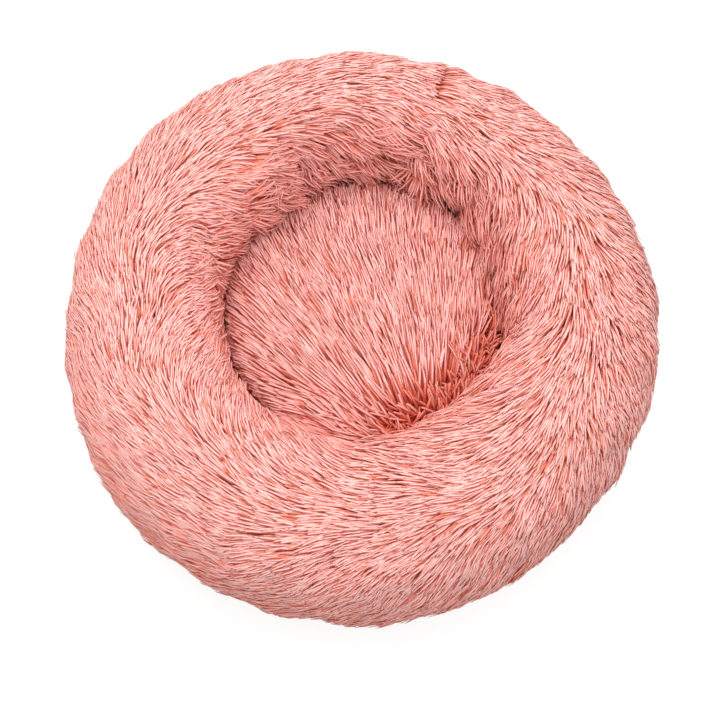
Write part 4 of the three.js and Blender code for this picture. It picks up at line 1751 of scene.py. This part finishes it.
@dataclass
class SeatSeam:
    """The tape that holds the gathered seam between the ring and the seat."""

    nest_offset: float = NEST_OFFSET
    inner_radius: float = 133 * MM
    outer_radius: float = 151 * MM
    height: float = 45.8 * MM
    thickness: float = 0.7 * MM

    def build(self) -> None:
        """Makes the tape, gathered in small waves."""
        turn = np.linspace(0, 2 * math.pi, 240, endpoint=False)
        radius = np.linspace(self.inner_radius, self.outer_radius, 7)
        x = radius[None] * np.cos(turn)[:, None]
        y = radius[None] * np.sin(turn)[:, None] + self.nest_offset
        wave = 0.08 * MM * np.sin(48 * turn)[:, None]
        low = np.stack([x, y, self.height + wave + 0 * x], axis=-1)
        twill = KnitFinish("seam_tape_twill", (222, 150, 136), (180, 96, 80), 0.9 * MM).material()
        piece = add_grid("seam_web", cloth_grid(low, self.thickness), twill)
        seat_piece(piece, ["seat_seam_tape"])


@dataclass
class Studio:
    """A pale floor that keeps the bed's shadow, soft lamps and the camera."""

    middle: tuple[float, float, float] = (0.0, 0.0, 0.092)
    elevation: float = 73.0
    distance: float = 2.4
    lens: float = 119.0
    aim: tuple[float, float] = (-0.0025, -0.0247)
    sky: float = 0.86
    floor_half: float = 12.0
    floor_height: float = -0.4 * MM
    floor_grey: float = 0.27
    floor_glow: float = 0.82

    def build(self) -> None:
        """Makes the floor, the world, the lamps and the camera."""
        self.floor()
        self.world()
        self.lamp("key_softbox", (-0.4, 0.75, 2.25), 1.9, 26.0, (1.0, 0.985, 0.97))
        self.lamp("fill_softbox", (0.5, -0.25, 2.5), 1.8, 8.0, (0.98, 0.99, 1.0))
        self.camera()

    def floor(self) -> None:
        """A plane that is white to the camera, metal and glass, and shaded where the bed is."""
        sheet = NodeSheet("studio_floor")
        tree = sheet.tree
        tree.nodes.remove(sheet.shader)
        sees = self.seen(sheet)
        grey = (*(self.floor_grey,) * 3, 1.0)
        cloth = sheet.add("ShaderNodeBsdfDiffuse", None, {"Color": grey})
        glow = sheet.add("ShaderNodeEmission", None, {"Strength": sees * self.floor_glow})
        both = sheet.add("ShaderNodeAddShader", None, {0: cloth, 1: glow})
        sheet.feed(sheet.output.inputs["Surface"], both)
        corners = np.array([[-1, -1], [1, -1], [1, 1], [-1, 1]]) * self.floor_half
        corners = np.concatenate([corners, np.full((4, 1), self.floor_height)], axis=1)
        loops, sizes = np.arange(4), np.array([4])
        floor = add_mesh("studio_floor", corners, loops, sizes, sheet.material, smooth=False)

    @staticmethod
    def seen(sheet: NodeSheet) -> Link:
        """Tells the rays to which the floor is white.

        Args:
            sheet: The floor's nodes.

        Returns:
            1 for rays from the camera, from gloss and through glass, else 0.
        """
        rays = [
            sheet.add("ShaderNodeLightPath", None, None, f"Is {kind} Ray")
            for kind in ("Camera", "Glossy", "Transmission")
        ]
        return (rays[0] + rays[1] + rays[2]).above(0.5)

    def world(self) -> None:
        """A soft white sky that is plain white behind the bed."""
        world = bpy.data.worlds.new("studio_sky")
        bpy.context.scene.world = world
        world.use_nodes = True
        nodes, links = world.node_tree.nodes, world.node_tree.links
        nodes.clear()
        path = nodes.new("ShaderNodeLightPath")
        strength = nodes.new("ShaderNodeMapRange")
        strength.inputs["To Min"].default_value = self.sky
        strength.inputs["To Max"].default_value = 1.0
        sky = nodes.new("ShaderNodeBackground")
        sky.inputs["Color"].default_value = (1.0, 1.0, 1.0, 1.0)
        output = nodes.new("ShaderNodeOutputWorld")
        links.new(path.outputs["Is Camera Ray"], strength.inputs["Value"])
        links.new(strength.outputs[0], sky.inputs["Strength"])
        links.new(sky.outputs[0], output.inputs["Surface"])

    @staticmethod
    def lamp(
        name: str,
        place: tuple[float, float, float],
        size: float,
        power: float,
        colour: tuple[float, float, float],
    ) -> None:
        """Makes a square softbox that looks at the middle of the bed.

        Args:
            name: The lamp's name.
            place: Where it hangs.
            size: The length of its sides.
            power: Its power in watts.
            colour: Its colour, as linear red, green and blue.
        """
        data = bpy.data.lights.new(name, "AREA")
        data.size, data.energy, data.color = size, power, colour
        lamp = bpy.data.objects.new(name, data)
        lamp.location = place
        ray = Vector((0, 0, 0.08)) - Vector(place)
        lamp.rotation_euler = ray.to_track_quat("-Z", "Y").to_euler()
        bpy.context.scene.collection.objects.link(lamp)

    def camera(self) -> None:
        """The camera, above the front of the bed."""
        data = bpy.data.cameras.new("studio_camera")
        data.lens, data.sensor_width = self.lens, 36.0
        data.clip_start, data.clip_end = 0.05, 60.0
        tilt = math.radians(self.elevation)
        back = Vector((0.0, -math.cos(tilt), math.sin(tilt)))
        up = Vector((0.0, math.sin(tilt), math.cos(tilt)))
        target = Vector(self.middle) + Vector((self.aim[0], 0, 0)) + up * self.aim[1]
        camera = bpy.data.objects.new("studio_camera", data)
        camera.location = target + back * self.distance
        camera.rotation_euler = (-back).to_track_quat("-Z", "Y").to_euler()
        bpy.context.scene.collection.objects.link(camera)
        bpy.context.scene.camera = camera


@dataclass
class Dressing:
    """Finishes for the CAD nodes whose shape is right as it is."""

    def build(self) -> None:
        """Gives each node that still shows its finish."""
        finishes = {
            "ring_liner_top": KnitFinish("liner_cloth", (242, 239, 233), (214, 210, 202), 0.8 * MM),
            "ring_fill": FibreFinish(),
            "zip_teeth_front": PlasticFinish("zip_teeth_plastic", (227, 174, 166), (205, 146, 137)),
            "zip_slider": MetalFinish(),
        }
        materials = {node: finish.material() for node, finish in finishes.items()}
        alike = {
            "ring_liner_bottom": "ring_liner_top",
            "pad_liner_top": "ring_liner_top",
            "pad_liner_bottom": "ring_liner_top",
            "pad_fill": "ring_fill",
            "zip_teeth_rear": "zip_teeth_front",
            "zip_bottom_stop": "zip_slider",
            "zip_top_stop_front": "zip_slider",
            "zip_top_stop_rear": "zip_slider",
            "zip_pull": "zip_slider",
        }
        for node, source in {**{n: n for n in finishes}, **alike}.items():
            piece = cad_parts[node]
            piece.data.materials.clear()
            piece.data.materials.append(materials[source])


def main() -> None:
    """Builds the bed and its studio, piece by piece."""
    view = bpy.context.scene.view_settings
    view.view_transform = "Standard"
    bpy.context.scene.cycles.diffuse_bounces = 12
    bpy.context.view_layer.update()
    pile = PileFinish().material()
    # The backing is a red knit; its darker red also serves as painted shade for the gaps deep in
    # the pile.
    backing = KnitFinish("knit_backing", (226, 104, 78), (186, 66, 44), 1.6 * MM).material()
    Bolster().build(pile, backing)
    Seat().build(pile, backing)
    SeatSeam().build()
    Base().build()
    Dressing().build()
    Studio().build()


if __name__ == "__main__":
    main()
